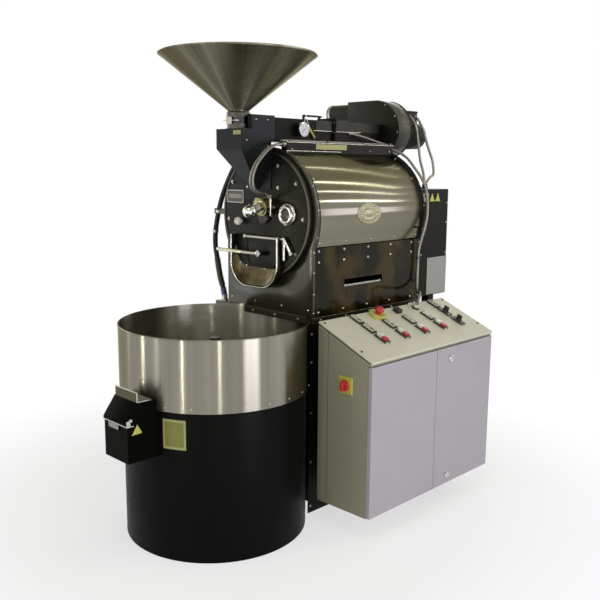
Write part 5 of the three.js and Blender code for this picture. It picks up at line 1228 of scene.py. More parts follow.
def make_duct():
    dress("exhaust_duct", "duct", 1.0)
    x0, x1, z0, z1, lip, half = -45.4, 35.4, 1496.6, 1592.4, 12, 2.4
    sides = ((x0 - lip, z1, x1 + lip, z1 + lip), (x1, z0, x1 + lip, z1), (x0 - lip, z0, x0, z1))
    piece("duct_flanges", [
        (box_into, (left, y - half, low), (right, y + half, high))
        for y in (344, 350) for left, low, right, high in sides
    ], "duct", bevel=0.6)
    screws("duct_flange_screws", [((43.1, 341.0, z), FRONT) for z in (1505, 1545, 1585)], 2.6)
    # A thin band over the duct's upper side carries the lighter copy of its paint: painted sheen.
    spans = ((236, 340), (353, 650))
    boxes("duct_sheen_band", [((DUCT_SIDE, y0, 1550), (37.6, y1, 1591)) for y0, y1 in spans], "duct_upper_painted_sheen")
    bars("duct_bead", [((37.4, 222, 1548.4), (37.4, 522, 1548.4))], 2.2, "screw")
    route = [(38, 452, 1543), (48, 458, 1542), (60, 520, 1530), (72, 600, 1512), (80, 655, 1501)]
    piece("duct_conduit", [(tube_into, catmull(route), 4.4)], "braid", smooth=45)
    lathe("duct_conduit_gland", [(0, 0), (9, 0), (9, 6), (6.5, 8), (0, 8)], (DUCT_SIDE, 452, 1543), RIGHT,
          "screw", steps=6)


def dial_turn(share):
    """Angle on the dial for a share of its scale, in radians."""
    return math.radians(225 - share * 270)


def dial_figure(text, angle):
    data = bpy.data.curves.new("number_%s" % text, "FONT")
    data.body = text
    data.size = 4.2 * MM
    data.align_x = data.align_y = "CENTER"
    data.extrude = 0.15 * MM
    letter = link(bpy.data.objects.new("dial_number_%s" % text, data))
    y, z = DIAL
    spot = Vector((DIAL_FACE + 0.15, y + 17.0 * math.cos(angle), z + 17.0 * math.sin(angle))) * MM
    letter.matrix_world = Matrix.Translation(spot) @ SWAP_AXES
    solid = bpy.data.objects.new("dial_figure_%s" % text, evaluated_mesh(letter))
    solid.matrix_world = letter.matrix_world
    bpy.data.objects.remove(letter)
    finish_piece(link(solid), "plastic")


def make_dial():
    y, z = DIAL
    centre = (DUCT_SIDE, y, z)
    lathe("thermometer_case", [
        (0, 0), (8, 0), (8, 10), (5, 10.5), (5, 15.5), (26, 15.8), (29.2, 18), (29.6, 27), (28.6, 30),
        (26.4, 30.4), (26, 27.2), (0, 27.0),
    ], centre, RIGHT, "chrome", steps=72, stands_for=("duct_thermometer",), smooth=35)
    lathe("thermometer_face", [(0, 27.1), (25.8, 27.1), (25.8, 27.8), (0, 27.8)], centre, RIGHT, "dial")
    parts = []
    for k in range(25):
        inner, half = (22.6, 0.15) if k % 4 else (21.0, 0.3)
        mark = placed(DIAL_FACE, y, z, -dial_turn(k / 24), "X")
        parts.append((box_into, (0, inner, -half), (0.35, 24.2, half), mark))
    parts.append((box_into, (0.4, -6, -0.7), (0.9, 20, 0.7),
                  placed(DIAL_FACE, y, z, -math.radians(128), "X")))
    piece("thermometer_marks", parts, "plastic")
    lathe("thermometer_hub", [(0, 0), (2.4, 0), (2.0, 1.4), (0, 1.6)], (DIAL_FACE, y, z), RIGHT, "dark",
          steps=20)
    for k, text in enumerate(("0", "100", "200", "300")):
        dial_figure(text, dial_turn(k / 3))


def make_damper():
    body = "damper"
    y, z = DAMPER
    turn = placed(0, y, z, DAMPER_REST, "X")
    shaft = [(0, -41), (4.2, -41), (5, -40), (5, 52), (4.2, 54), (0, 54)]
    piece("damper_fine", [
        (lathe_into, shaft, placed(0, y, z, math.pi / 2), 24),
        (box_into, (-40.5, -1.5, -62), (30.5, 1.5, 0), turn),
        (box_into, (40, -4.5, -22), (44, 4.5, 4), turn),
    ], "dark", body, ("damper_lever",), bevel=0.5)
    grip = [(0, 0), (3.4, 0), (4.2, 2), (4.2, 56), (3.4, 59), (0, 60)]
    piece("damper_grip", [(lathe_into, grip, turn @ placed(42, 0, -14, math.pi, "X"), 20)], "yellow", body,
          smooth=40)
    loop = [turn @ Vector((43, 9.5 * math.cos(a), 12 + 9.5 * math.sin(a))) for a in round_angles(24)]
    piece("damper_ring", [(tube_into, loop, 1.8, 10, True)], "polished", body, smooth=60)
    boxes("damper_link", [((36, 163, 1602), (42, 271, 1610))], "black_satin", bevel=1.2)
    bars("damper_link_pins", [((34, py, 1606), (46, py, 1606)) for py in (170, 264)], 3.6, "screw")
    boxes("damper_link_stand", [((26, py, 1592.2), (34, py + 8, 1610)) for py in (166, 260)], "black_satin")


def volute(inset, steps=72):
    """Spiral of the fan's housing with the straight run to its outlet."""
    points = []
    for k in range(steps + 1):
        t = k / steps
        a = math.pi + 1.5 * math.pi * t
        r = VOLUTE_R + 55 * max((t - 1 / 3) * 1.5, -0.1) - inset
        points.append((FAN_X + r * math.cos(a), FAN_Z + r * math.sin(a)))
    top = FAN_Z + 150 - inset
    low = FAN_Z + 58 + inset
    return points + [(OUTLET_X + inset, top), (OUTLET_X + inset, low), (FAN_X - VOLUTE_R + inset, low)]


def make_fan():
    middle = facing_front(FAN_MIDDLE)
    shell = outline_object("fan_scroll_fine", [volute(0.6)], 98.8, middle, 1.2)
    cutters = [outline_object("cutter", [volute(4)], 91, middle, 0.2)]
    for radius, half, steps, at, direction in (
        (36, 9, 48, (FAN_X, FAN_FRONT, FAN_Z), REAR), (10, 9, 32, (FAN_X, FAN_REAR, FAN_Z), REAR),
        (39, 20, 48, OUTLET, LEFT),
    ):
        profile = [(0, -half), (radius, -half), (radius, half), (0, half)]
        cutters.append(cutter(lathe_into, profile, aim(at, direction), steps))
    cut_with(shell, cutters)
    finish_piece(shell, "black_fan", stands_for=("fan_scroll",), smooth=28)
    # Rims and wrap take a lighter copy of the housing's paint: painted sheen.
    for name, y in (("fan_rim_front", FAN_FRONT + 2.2), ("fan_rim_rear", FAN_REAR - 2.2)):
        flat(name, [volute(-3), volute(0.4)], 3, facing_front(y), 0.6, "fan_edge_sheen", smooth=28)
    flat("fan_wrap", [volute(-0.9), volute(0.5)], 90, middle, 0.3, "fan_edge_sheen", smooth=28)
    lathe("fan_outlet_pipe", [
        (39, -2), (46, -2), (47.5, 0), (47.5, 5), (43, 7), (43, 146), (42, 150), (39, 150), (39, -2),
    ], OUTLET, LEFT, "black_fan", steps=72, smooth=35)
    band = [(43.1, 128), (45, 128), (45, 140), (43.1, 140)]
    lathe("fan_outlet_band", band, OUTLET, LEFT, "screw", steps=72)
    spots = volute(6)[4:70:9]
    screws("fan_screws_rear", [((x, FAN_REAR - 0.2, z), REAR) for x, z in spots], 3.6)
    open_spots = [(x, z) for x, z in spots if math.hypot(x, z - ARCH_Z) > 292]
    screws("fan_screws_front", [((x, FAN_FRONT + 0.2, z), FRONT) for x, z in open_spots], 3.6)
    make_fan_motor()
    make_impeller()


def ribbed(foot, top, first, pitch, count, rib):
    """Profile of a motor: foot, a run of ribs, top."""
    return [*foot, *((r, first + k * pitch + h) for k in range(count) for r, h in rib), *top]


def make_fan_motor():
    profile = ribbed(
        [(0, 0), (60, 0), (62, 2), (62, 26)],
        [(61.8, 160), (62, 164), (62, 196), (59, 203), (50, 207.5), (0, 208)],
        30, 13, 9, ((57.5, 0), (57.5, 5), (61.8, 6), (61.8, 11)),
    )
    lathe("fan_motor_fine", profile, (FAN_X, FAN_REAR + 0.3, FAN_Z), REAR, "black_satin", steps=72,
          stands_for=("fan_motor",), smooth=28)
    slots = [placed(FAN_X, MOTOR_REAR - 0.5, FAN_Z, a) for a in round_angles(16)]
    piece("fan_motor_slots", [(box_into, (18, 0, -2), (46, 1.2, 2), m) for m in slots], "gasket", bevel=0.4)
    boxes("motor_terminal_box", [((-50, 810.6, 1598), (40, 935.6, 1656))], "black_satin", bevel=2.2,
          segments=3)
    boxes("motor_terminal_lid", [((-52, 808.6, 1656.2), (42, 937.6, 1664))], "black_satin", bevel=1.8,
          segments=3)
    screws("terminal_screws", [((x, y, 1664), UP) for x in (-44, 34) for y in (816, 930)], 3.0)
    boxes("motor_feet", [((-45, 820, 1486), (35, 900, 1493))], "black_satin", bevel=1.2)


def make_impeller():
    body = "fan_impeller"
    low = FAN_FRONT + 8
    high = low + 60
    axis = aim((FAN_X, 0, FAN_Z), REAR)
    disc = [(0, high - 3), (79.6, high - 3), (80, high - 2), (80, high), (0, high)]
    hub = [(0, high - 30), (15, high - 30), (16, high - 28), (16, high - 2), (0, high - 2)]
    shaft = [(0, high - 2), (8.9, high - 2), (8.9, 826), (0, 826)]
    blades = [placed(FAN_X, 0, FAN_Z, a) @ placed(64, 0, 0, 0.6) for a in round_angles(20)]
    piece("fan_impeller_fine", [
        *((lathe_into, profile, axis, steps) for profile, steps in ((disc, 64), (hub, 32), (shaft, 24))),
        *((box_into, (-13, low, -0.8), (13, high - 2, 0.8), blade) for blade in blades),
    ], "dark", body, (body,), 30, 0.3)


make_feed()
make_dial()
make_damper()
make_fan()

# ---------------------------------------------------------------- drum and drive

BIG_R, BIG_TEETH = 90, 36
SMALL_R, SMALL_TEETH = 37.5, 15
CHAIN_PITCH = 12.7
CHAIN_MIDDLE = CHAIN_Y + 4
BURNER_XS = (-110, 0, 110)
MOTOR_AXLE = (0, 0, MOTOR_Z)


def sprocket_into(work, centre_z, radius, teeth):
    tooth = ((0.0, 4), (0.18, 3.2), (0.36, 0.4), (0.5, 0), (0.64, 0.4), (0.82, 3.2))
    outline = []
    for k in range(teeth):
        for part, depth in tooth:
            a = WHOLE_TURN * (k + part) / teeth
            outline.append(((radius - depth) * math.cos(a), (radius - depth) * math.sin(a)))
    lower, upper = ([work.verts.new((x, y, centre_z + z)) for x, z in outline]
                    for y in (CHAIN_Y, CHAIN_Y + 8))
    work.faces.new(lower)
    work.faces.new(upper[::-1])
    count = len(outline)
    for k in range(count):
        work.faces.new((lower[k], lower[(k + 1) % count], upper[(k + 1) % count], upper[k]))


def make_drum():
    body = "drum"
    axis = aim(AXLE, REAR)
    shell = [(224, 16), (228, 16), (228, 660), (12, 660), (12, 656), (224, 656), (224, 16)]
    lathe("drum_shell", shell, AXLE, REAR, "bronzed", body, 96, (body,))
    spokes = [placed(0, 338, ARCH_Z, math.pi * (0.25 + k / 2)) for k in range(2)]
    piece("drum_shaft_and_spider", [
        (bar, (0, -25.5, ARCH_Z), (0, 740, ARCH_Z), 11.9),
        *((box_into, (-225, -6, -6), (225, 6, 6), spoke) for spoke in spokes),
        (lathe_into, [(0, 324), (26, 324), (26, 352), (0, 352)], axis, 32),
    ], "dark", body, bevel=0.6)
    vanes = [placed(0, 0, ARCH_Z, WHOLE_TURN * (k + 0.5) / 4) for k in range(4)]
    piece("drum_vanes", [(box_into, (152, 56, -2.5), (225, 620, 2.5), vane) for vane in vanes], "bronzed",
          body, bevel=0.8)
    hub = [(0, 716), (26, 716), (28, 718), (28, 732), (26, 734), (0, 734)]
    piece("drum_sprocket", [
        (sprocket_into, ARCH_Z, BIG_R, BIG_TEETH), (lathe_into, hub, axis, 32),
    ], "dark", body, bevel=0.4)
    lathe("rear_bearing_fine", [
        (12.3, 690.3), (30, 690.3), (30, 694), (27, 699), (24, 702.3), (12.3, 702.3), (12.3, 690.3),
    ], AXLE, REAR, "casting", steps=48, stands_for=("rear_bearing",))
    body = "motor_sprocket"
    hub = [(0, 719), (18, 719), (18, 733), (9.9, 733), (9.9, 780), (0, 780)]
    piece("motor_sprocket_fine", [
        (sprocket_into, MOTOR_Z, SMALL_R, SMALL_TEETH), (lathe_into, hub, aim(MOTOR_AXLE, REAR), 32),
    ], "dark", body, (body,), 30, 0.3)


def chain_path(gap):
    lean = math.asin((BIG_R - SMALL_R) / (ARCH_Z - MOTOR_Z))
    big = circle(0, ARCH_Z, BIG_R + gap, 40, -lean, math.pi + lean)
    return big + circle(0, MOTOR_Z, SMALL_R + gap, 20, math.pi + lean, 2 * math.pi - lean)


def resample(points, pitch):
    """An even number of evenly spaced points round a closed path, at about a pitch."""
    closed = [*points, points[0]]
    spans = [math.dist(a, b) for a, b in zip(closed, closed[1:])]
    total = sum(spans)
    count = int(total / pitch) // 2 * 2
    result = []
    for k in range(count):
        want = total * k / count
        for (a, b), span in zip(zip(closed, closed[1:]), spans):
            if want <= span:
                t = want / span
                result.append((a[0] + (b[0] - a[0]) * t, a[1] + (b[1] - a[1]) * t))
                break
            want -= span
    return result


def make_chain():
    pins = resample(chain_path(4.6), CHAIN_PITCH)
    roller = [(0, -4), (2.2, -4), (2.2, 4), (0, 4)]
    parts = []
    for k, ((x, z), (bx, bz)) in enumerate(zip(pins, [*pins[1:], pins[0]])):
        angle = math.atan2(bz - z, bx - x)
        half = math.hypot(bx - x, bz - z) / 2 + 3
        for side in (-1, 1):
            off = side * (3.4 if k % 2 else 2.2)
            matrix = placed((x + bx) / 2, CHAIN_MIDDLE + off, (z + bz) / 2, -angle)
            parts.append((box_into, (-half, -0.5, -3.2), (half, 0.5, 3.2), matrix))
        parts.append((lathe_into, roller, aim((x, CHAIN_MIDDLE, z), REAR), 10))
    piece("drive_chain_fine", parts, "dark", stands_for=("drive_chain",))


def make_drive():
    make_chain()
    profile = ribbed(
        [(0, 740), (40, 740), (42, 742), (58, 748), (60, 752)], [(60, 866), (56, 876), (46, 880), (0, 880)],
        762, 12, 8, ((56.5, 0), (56.5, 4.5), (60, 5.5), (60, 10)),
    )
    lathe("drive_motor_fine", profile, MOTOR_AXLE, REAR, "black_satin", stands_for=("drive_motor",),
          smooth=28)
    boxes("drive_motor_feet", [
        ((-55, 745, 822.3), (55, 875, 832)), ((-55, 760, 832), (-45, 862, 900)),
        ((45, 760, 832), (55, 862, 900)),
    ], "black_satin", bevel=1.2)
    bars("burner_tubes_fine", [((x, 10.5, 884), (x, 679.5, 884)) for x in BURNER_XS], 14, "dark",
         stands_for=("burner_tubes",), sides=32)
    boxes("burner_header", [((-124, 651.7, 870), (124, 679.7, 898))], "dark", bevel=1.5)
    jet = [(2.4, -0.2), (2.4, 1.6), (1.2, 1.6), (1.2, -0.2)]
    jets = [placed(x, 30 + k * 15, 898) for x in BURNER_XS for k in range(40)]
    piece("burner_jets", [(lathe_into, jet, spot, 8) for spot in jets], "brass")


make_drum()
make_drive()

# ---------------------------------------------------------------- cooling bin

LABEL_R = 352.9
TRAY_TOP = 564.3
HUB_LOW = TRAY_TOP + 2
HUB_HIGH = HUB_LOW + 70
POST_TOP = HUB_LOW + 184
ARM_Z = HUB_LOW + 60
ARM_REACH = RING_R - 18
PADDLE_HALF = 35
PADDLE_FIRST = 75


def curved_plate(work, inner, outer, start, end, low, high, steps=16):
    """Thin plate bent round the bin's axis."""
    cx, cy = BIN
    rows = []
    for k in range(steps + 1):
        a = math.radians(start + (end - start) * k / steps)
        rows.append([work.verts.new((cx + r * math.cos(a), cy + r * math.sin(a), z)) for r, z in (
            (inner, low), (outer, low), (outer, high), (inner, high),
        )])
    for a, b in zip(rows, rows[1:]):
        for k in range(4):
            work.faces.new((a[k], b[k], b[(k + 1) % 4], a[(k + 1) % 4]))
    work.faces.new(rows[0][::-1])
    work.faces.new(rows[-1])


def ring_piece(name, profile, openings):
    """Turned ring of the bin, cut clear of the housing, the deck and the outlet."""
    ring = build(name, [(lathe_into, profile, placed(*BIN), 192)])
    cut_with(ring, [cutter(box_into, low, high) for low, high in openings])
    return ring


def make_bin():
    x, y = BIN
    lathe("bin_body_fine", [
        (0, 0), (350.5, 0), (352.7, 2), (352.7, 554), (352.0, 556.4), (349.7, 556.4), (349.7, 5), (0, 5),
    ], BIN_FLOOR, UP, "black_bin", steps=192, stands_for=("bin_body",))
    boxes("gearmotor_beam", [((x - 349, y - 25, 250), (x + 349, y + 25, 300))], "black_satin", bevel=1.2)
    seam = [(352.7, 10), (353.3, 10.6), (353.3, 13), (352.7, 13.6)]
    lathe("bin_foot_seam", seam, BIN_FLOOR, UP, "black_bin", steps=192)
    seal = [(353.0, 556.9), (362, 556.7), (362, 556.95), (353.0, 556.98)]
    lathe("bin_neck_seal", seal, BIN_FLOOR, UP, "gasket", steps=128)

    ring = ring_piece("cooling_ring_fine", [
        (347, 557), (363.6, 557), (365, 558.4), (365, 814), (366.2, 815.2), (366.2, 817), (364.6, 818.2),
        (361.6, 818.2), (361, 816), (361, 561), (347, 561), (347, 557),
    ], (
        ((-500, -6.3, 785.7), (500, 300, 830)), ((251.5, -17, -5), (700, 300, 830)),
        ((15, y - 372, 561), (135, y - 200, 594)),
    ))
    finish_piece(ring, "ring", stands_for=("cooling_ring",), smooth=28)
    places = []
    for k in range(24):
        a = math.radians(7.5 + 15 * k)
        px, py = x + RING_R * math.cos(a), y + RING_R * math.sin(a)
        over_outlet = 0 < px < 150 and py < y - 300
        if py < -24 and not over_outlet:
            places.append(((px, py, 574), (math.cos(a), math.sin(a), 0)))
    screws("ring_screws", places, 3.8)
    # A thin layer over the ring's inner wall carries a lighter copy of the ring's steel: painted reflection.
    inner = 360.7
    sheen_layer = ring_piece("ring_inner_sheen_layer",
                        [(inner, 566), (360.95, 566), (360.95, 812), (inner, 812), (inner, 566)], (
        ((-500, -7, 785), (500, 300, 830)), ((251, -17.5, -5), (700, 300, 830)),
        ((14, y - 372, 550), (136, y - 200, 596)),
    ))
    finish_piece(sheen_layer, "ring_inside_sheen")
    tray = [(15, 561.3), (360, 561.3), (360, TRAY_TOP), (15, TRAY_TOP), (15, 561.3)]
    piece("cooling_tray_fine", [(lathe_into, tray, placed(x, y), 128)], "tray", stands_for=("cooling_tray",))
    make_stirrer()
    border = [(curved_plate, LABEL_R, LABEL_R + 0.8, -70.4, -56.1, 421, 529)]
    piece("bin_label_border", border, "label", smooth=40)
    field = [(curved_plate, LABEL_R + 0.7, LABEL_R + 1.2, -69.2, -57.3, 430, 520)]
    piece("bin_label", field, "label_green", smooth=40)
    make_outlet()


def make_stirrer():
    body = "stirrer"
    axis = placed(*BIN)
    low, high, top = HUB_LOW, HUB_HIGH, POST_TOP
    piece("stirrer_hub", [
        (lathe_into, [(0, 471), (13.8, 471), (13.8, low + 4), (0, low + 4)], axis, 32),
        (lathe_into, [(0, low), (29, low), (30, low + 1), (30, high - 6), (24, high), (0, high)], axis, 48),
        (lathe_into, [
            (0, high - 5), (14, high - 5), (14, top - 12), (18.5, top - 12), (20, top - 10.5), (20, top - 2),
            (18, top), (0, top),
        ], axis, 48),
    ], "dark", body, (body,), 35)
    parts = []
    last = ARM_REACH - PADDLE_HALF
    for k in range(4):
        spin = axis @ placed(angle=math.pi / 4 + math.pi * k / 2, axis="Z")
        parts.append((box_into, (0, -7, ARM_Z - 14), (ARM_REACH, 7, ARM_Z), spin))
        for order in range(3):
            at = last - (last - PADDLE_FIRST) / 2.5 * (order + (k % 2) / 2)
            local = spin @ placed(at, angle=math.pi / 5, axis="Z")
            parts += [
                (box_into, (-PADDLE_HALF, -2.5, TRAY_TOP + 4), (PADDLE_HALF, 2.5, TRAY_TOP + 44), local),
                (box_into, (-7, -2.5, TRAY_TOP + 24), (7, 2.5, ARM_Z - 7), local),
            ]
    piece("stirrer_arms", parts, "steel", body, bevel=1.0)
    dress("stirrer_gearmotor", "black_satin", 1.5)


def make_outlet():
    dress("outlet_chute", "outlet", 1.4)
    lip = [((0, -789.4, 523), (150, -786.4, 527)), ((147.4, -789, 523), (150.4, -762, 527))]
    boxes("outlet_lip", lip, "polished")
    boxes("outlet_lip_skirt", [((0, -788.6, 527), (149.6, -786.4, 534))], "outlet", bevel=0.6)
    hood = [(-738.5, 600.0), (-786.8, 534.2), (-788.4, 535.6), (-739.6, 602.2)]
    flat("outlet_hood", [hood], 149, facing_side(75), 0.4, "outlet")
    boxes("outlet_tag", [((36, -790.6, 505), (98, -789.6, 523))], "silver_label", bevel=0.4)
    boxes("outlet_tag_back", [((34, -789.6, 503), (100, -787.6, 524))], "outlet", bevel=0.6)
    catch = [((148.4, -779, 541), (153, -768, 551)), ((148.2, -790, 527), (151, -774, 546))]
    boxes("outlet_catch", catch, "polished", bevel=1.2)
    triangle = [(-769, 492), (-728, 494), (-747, 526)]
    flat("outlet_triangle", [triangle], 0.9, facing_side(147.8), 0.2, "sticker")
    body = "bin_gate"
    dress(body, "gate")
    bars("bin_gate_beads", [
        ((7, -740, 634.6), (143, -740, 634.6)), ((143.2, -741, 634), (143.2, -741, 602)),
        ((143.2, -741, 602), (143.2, -690, 602)),
    ], 2.4, "polished", body, ease=0.5)


make_bin()

# ---------------------------------------------------------------- console

PLATE_FACE = 354.9
DUCT_FACE = PLATE_FACE + 28
DEVICE_FACE = PLATE_FACE + 70
DEVICE_HALF = 85
DEVICE_HEIGHT = 110
DEVICES = ((127, 336), (357, 446), (587, 336))
DARK_MODULE = (0, 4)
LAMP_MODULES = ((0, 0), DARK_MODULE, (1, 0), (1, 1), (1, 2), (1, 3))
BUTTON_OFF = 12.5
BUTTON_HALF = 10.9
BUTTON_HOLE = 11.6
LOCK_Y = 455
LOCKS = (("lower", 137), ("upper", 636))
SWITCH_X, SWITCH_Z = 481, 597
SWITCH_FACE = -55.0


def on_panel(name, pairs, material, bevel=0.8, body=ROOT, stands_for=()):
    return boxes(name, pairs, material, body, bevel, SLOPE, stands_for)


def around(x, y, half_x, half_y, low, high):
    """One box round a place on the panel."""
    return [((x - half_x, y - half_y, low), (x + half_x, y + half_y, high))]


def on_slope(name, spot, profile, steps, material, body=ROOT, stands_for=(), smooth=35):
    """Turned piece that stands on the sloping panel."""
    row, column = spot
    matrix = SLOPE @ placed(ROWS[row], COLUMNS[column])
    return piece(name, [(lathe_into, profile, matrix, steps)], material, body, stands_for, smooth)


def make_electrics():
    """Wiring ducts on the back plate, and covers and terminals on its three devices."""
    back = PLATE_FACE + 0.2
    ducts = [((back, 40, z), (DUCT_FACE, 674, z + 24)) for z in (186, 560)]
    ducts += [((back, y, 212), (DUCT_FACE, y + 22, 558)) for y in (228, 464)]
    boxes("wiring_ducts", ducts, "beige", bevel=1.0)
    slots = [((DUCT_FACE + 0.1, y, low), (DUCT_FACE + 0.6, y + 4, low + 16))
             for low in (190, 564) for y in range(52, 664, 18)]
    boxes("wiring_duct_slots", slots, "gasket", bevel=0.0)
    covers, terminals = [], []
    front = DEVICE_FACE + 0.2
    for middle, low in DEVICES:
        high = low + DEVICE_HEIGHT
        covers.append(((front, middle - DEVICE_HALF + 5, low + 16),
                       (DEVICE_FACE + 5, middle + DEVICE_HALF - 5, high - 16)))
        terminals += [((front, middle + off - 4, z), (DEVICE_FACE + 2.2, middle + off + 4, z + 7))
                      for off in (-26, -13, 0, 13, 26) for z in (low + 4, high - 11)]
    boxes("device_covers", covers, "plastic", bevel=1.2)
    boxes("device_terminals", terminals, "screw", bevel=0.4)


def make_console():
    # Body and panel take darker and lighter copies of one beige paint: painted shade and painted light.
    for node, material, bevel in (
        ("console_body", "beige", 1.6), ("console_panel", "panel", 1.6),
        ("console_door_front", "door", 1.8), ("console_door_rear", "door", 1.8),
    ):
        dress(node, material, bevel, 3)
    dress("electrics_backplate", "steel")
    make_electrics()
    seals = ((-43, 104, 757, 108), (-43, 676, 757, 680), (-43, 104, -39, 680), (753, 104, 757, 680))
    boxes("door_gasket", [((583.6, y0, z0), (585.2, y1, z1)) for y0, z0, y1, z1 in seals], "gasket",
          bevel=0.4)
    for name, z in LOCKS:
        node = "door_lock_" + name
        lathe(node + "_fine", [
            (0, -22), (8.9, -22), (8.9, 0.4), (14, 0.6), (14, 4.0), (12.5, 6), (9.0, 6.4), (8.4, 4.2),
            (0, 4.0),
        ], (603.3, LOCK_Y, z), RIGHT, "chrome", node, 48, (node,), 35)
        boxes(node + "_key", [((606.4, LOCK_Y - 1.4, z - 5), (607.6, LOCK_Y + 1.4, z + 5))], "gasket", node,
              0.4)
        boxes(node + "_cam", [((581.7, LOCK_Y - 9, z - 9), (584.7, LOCK_Y + 26, z + 9))], "steel", node, 0.6)
    make_modules()
    make_selectors()
    ends = [(x, y) for x in (16, PANEL_LENGTH - 72) for y in (18, 795)]
    normal = SLOPE.to_3x3() @ Vector(UP)
    screws("panel_screws", [(SLOPE @ Vector((x, y, 0)), normal) for x, y in ends], 5.4, "dark")
    make_switch()
    boxes("console_side_seam", [((386, -48.5, 104), (387.2, -48.05, 790))], "gasket", bevel=0.1)


def make_modules():
    """Lamps, twin buttons, buzzer, emergency stop and the conduit's gland."""
    half_x, half_y = TWIN_HALF
    top = TWIN_HEIGHT + 0.4
    lens = (TWIN_HEIGHT, TWIN_HEIGHT + 3.6)
    for row, column in LAMP_MODULES:
        x, y = ROWS[row], COLUMNS[column]
        base, upper, lower = "grey_plastic", "lens", "lamp"
        if (row, column) == DARK_MODULE:
            base, upper, lower = "plastic", "grey_plastic", "grey_plastic"
        spot = "%d_%d" % (row, column)
        on_panel("module_" + spot, around(x, y, half_x, half_y, 0.1, top), base, 1.4)
        on_panel("lens_" + spot, around(x - 12.5, y, 10.5, 8, *lens), upper, 1.2)
        on_panel("lens_low_" + spot, around(x + 12.5, y, 10.5, 8, *lens), lower, 1.2)
    for column in range(4):
        x, y = ROWS[2], COLUMNS[column]
        hole = BUTTON_HOLE
        c0, c1 = x - BUTTON_OFF - hole, x + BUTTON_OFF + hole
        spans = (
            (x - half_x, y - half_y, x + half_x, y - hole), (x - half_x, y + hole, x + half_x, y + half_y),
            (x - half_x, y - hole, c0, y + hole), (c1, y - hole, x + half_x, y + hole),
        )
        frames = [((x0, y0, 0.1), (x1, y1, top)) for x0, y0, x1, y1 in spans]
        on_panel("twin_frame_%d" % column, frames, "grey_plastic", 1.0)
        for side, name, material in ((-1, "start", "white"), (1, "stop", "red")):
            node = "%s_button_%d" % (name, column + 1)
            cap = around(x + side * BUTTON_OFF, y, BUTTON_HALF, BUTTON_HALF, 5.05, 16)
            on_panel(node + "_fine", cap, material, 1.8, node, (node,))
    on_panel("buzzer", around(ROWS[0], COLUMNS[2], 15.4, 15.4, 0.1, 16.4), "plastic", 1.6)
    collar = [(12.7, 0.1), (35.6, 0.1), (35.6, 11), (33, 13.4), (13.6, 13.6), (12.7, 12)]
    on_slope("estop_collar", (0, 1), collar, 64, "yellow")
    node = "estop_button"
    on_slope("estop_fine", (0, 1), [
        (0, 8.2), (11.9, 8.2), (11.9, 25), (16, 25.2), (19.6, 27.5), (20, 31), (18.8, 36), (15, 39.6),
        (9, 41), (0, 41.2),
    ], 64, "red", node, (node,), 40)
    gland = [(6.3, 0), (16.4, 0.1), (16.4, 9), (13, 10), (13, 19), (9, 22.2), (6.3, 22.2)]
    on_slope("panel_gland", (0, 3), gland, 24, "plastic")
    on_panel("gland_block", around(ROWS[0] - 24, COLUMNS[3], 10, 15, 0.1, 9), "white", 1.4)


def make_selectors():
    half_x, half_y = TWIN_HALF
    for row in (1, 2):
        x, y = ROWS[row], COLUMNS[4]
        node = "selector_knob_%d" % row
        on_panel("selector_base_%d" % row, around(x, y, half_x, half_y, 0.1, TWIN_HEIGHT + 0.2),
                 "grey_plastic", 1.4)
        base = SLOPE @ placed(x, y, TWIN_HEIGHT)
        knob = [(0, 0.5), (13, 0.5), (13.4, 2), (12.6, 8), (11, 9), (0, 9)]
        piece(node + "_fine", [(lathe_into, knob, base, 40)], "plastic", node, (node,), 35)
        boxes(node + "_grip", [((-12, -4.6, 4), (12, 4.6, 24))], "plastic", node, 2.4, base, segments=3)
        boxes(node + "_mark", [((-11, -0.7, 23.6), (-1, 0.7, 24.5))], "white", node, 0.2, base)


def make_switch():
    x, z, face = SWITCH_X, SWITCH_Z, SWITCH_FACE
    node = "main_switch_knob"
    boxes("switch_plate", [((x - 33.4, face, z - 33.4), (x + 33.4, -48.2, z + 33.4))], "yellow", bevel=2.0,
          segments=3)
    knob = [(0, 0), (20, 0), (21, 1.5), (21, 9), (19.5, 12), (0, 12.5)]
    lathe("switch_knob_fine", knob, (x, face + 0.1, z), FRONT, "red", node, 56, (node,), 35)
    boxes("switch_grip", [((x - 6.4, -80.3, z - 18.8), (x + 6.4, -62, z + 18.8))], "red", node, 2.6,
          segments=3)
    screws("switch_plate_screws", [((x + a, face, z + b), FRONT) for a in (-26, 26) for b in (-26, 26)], 2.6)


make_console()

# ---------------------------------------------------------------- light and stage

BACKDROP = (1.0, 1.0, 1.0)
CEILING = (0.62, 0.60, 0.45)
WORLD_LIGHT = 0.26
WORLD_COLOR = (0.95, 0.95, 0.92, 1)
FLOOR_TONES = ((0.96, 0.96, 0.955), (0.98, 0.98, 0.975))
FLOOR_HALF = 14000
LILAC = (0.92, 0.90, 1.0)
WARM = (1.0, 0.99, 0.86)
LAMP_TARGET = (0.1, 0.0, 0.9)
LINE_MIDDLE = 9.8
LINE_REACH = 8.0


def background_rays(tree):
    """1 where a ray of camera, reflection or glass looks at the surroundings, 0 for light on the object."""
    path = add(tree, "ShaderNodeLightPath", {}).outputs
    first = combined(tree, path["Is Camera Ray"], path["Is Glossy Ray"], "MAXIMUM")
    return combined(tree, first, path["Is Transmission Ray"], "MAXIMUM")


def blended(tree, factor, first, second, output):
    mix = add(tree, "ShaderNodeMixShader", {"Fac": factor, 1: first, 2: second})
    wire(tree, output, {"Surface": mix.outputs[0]})


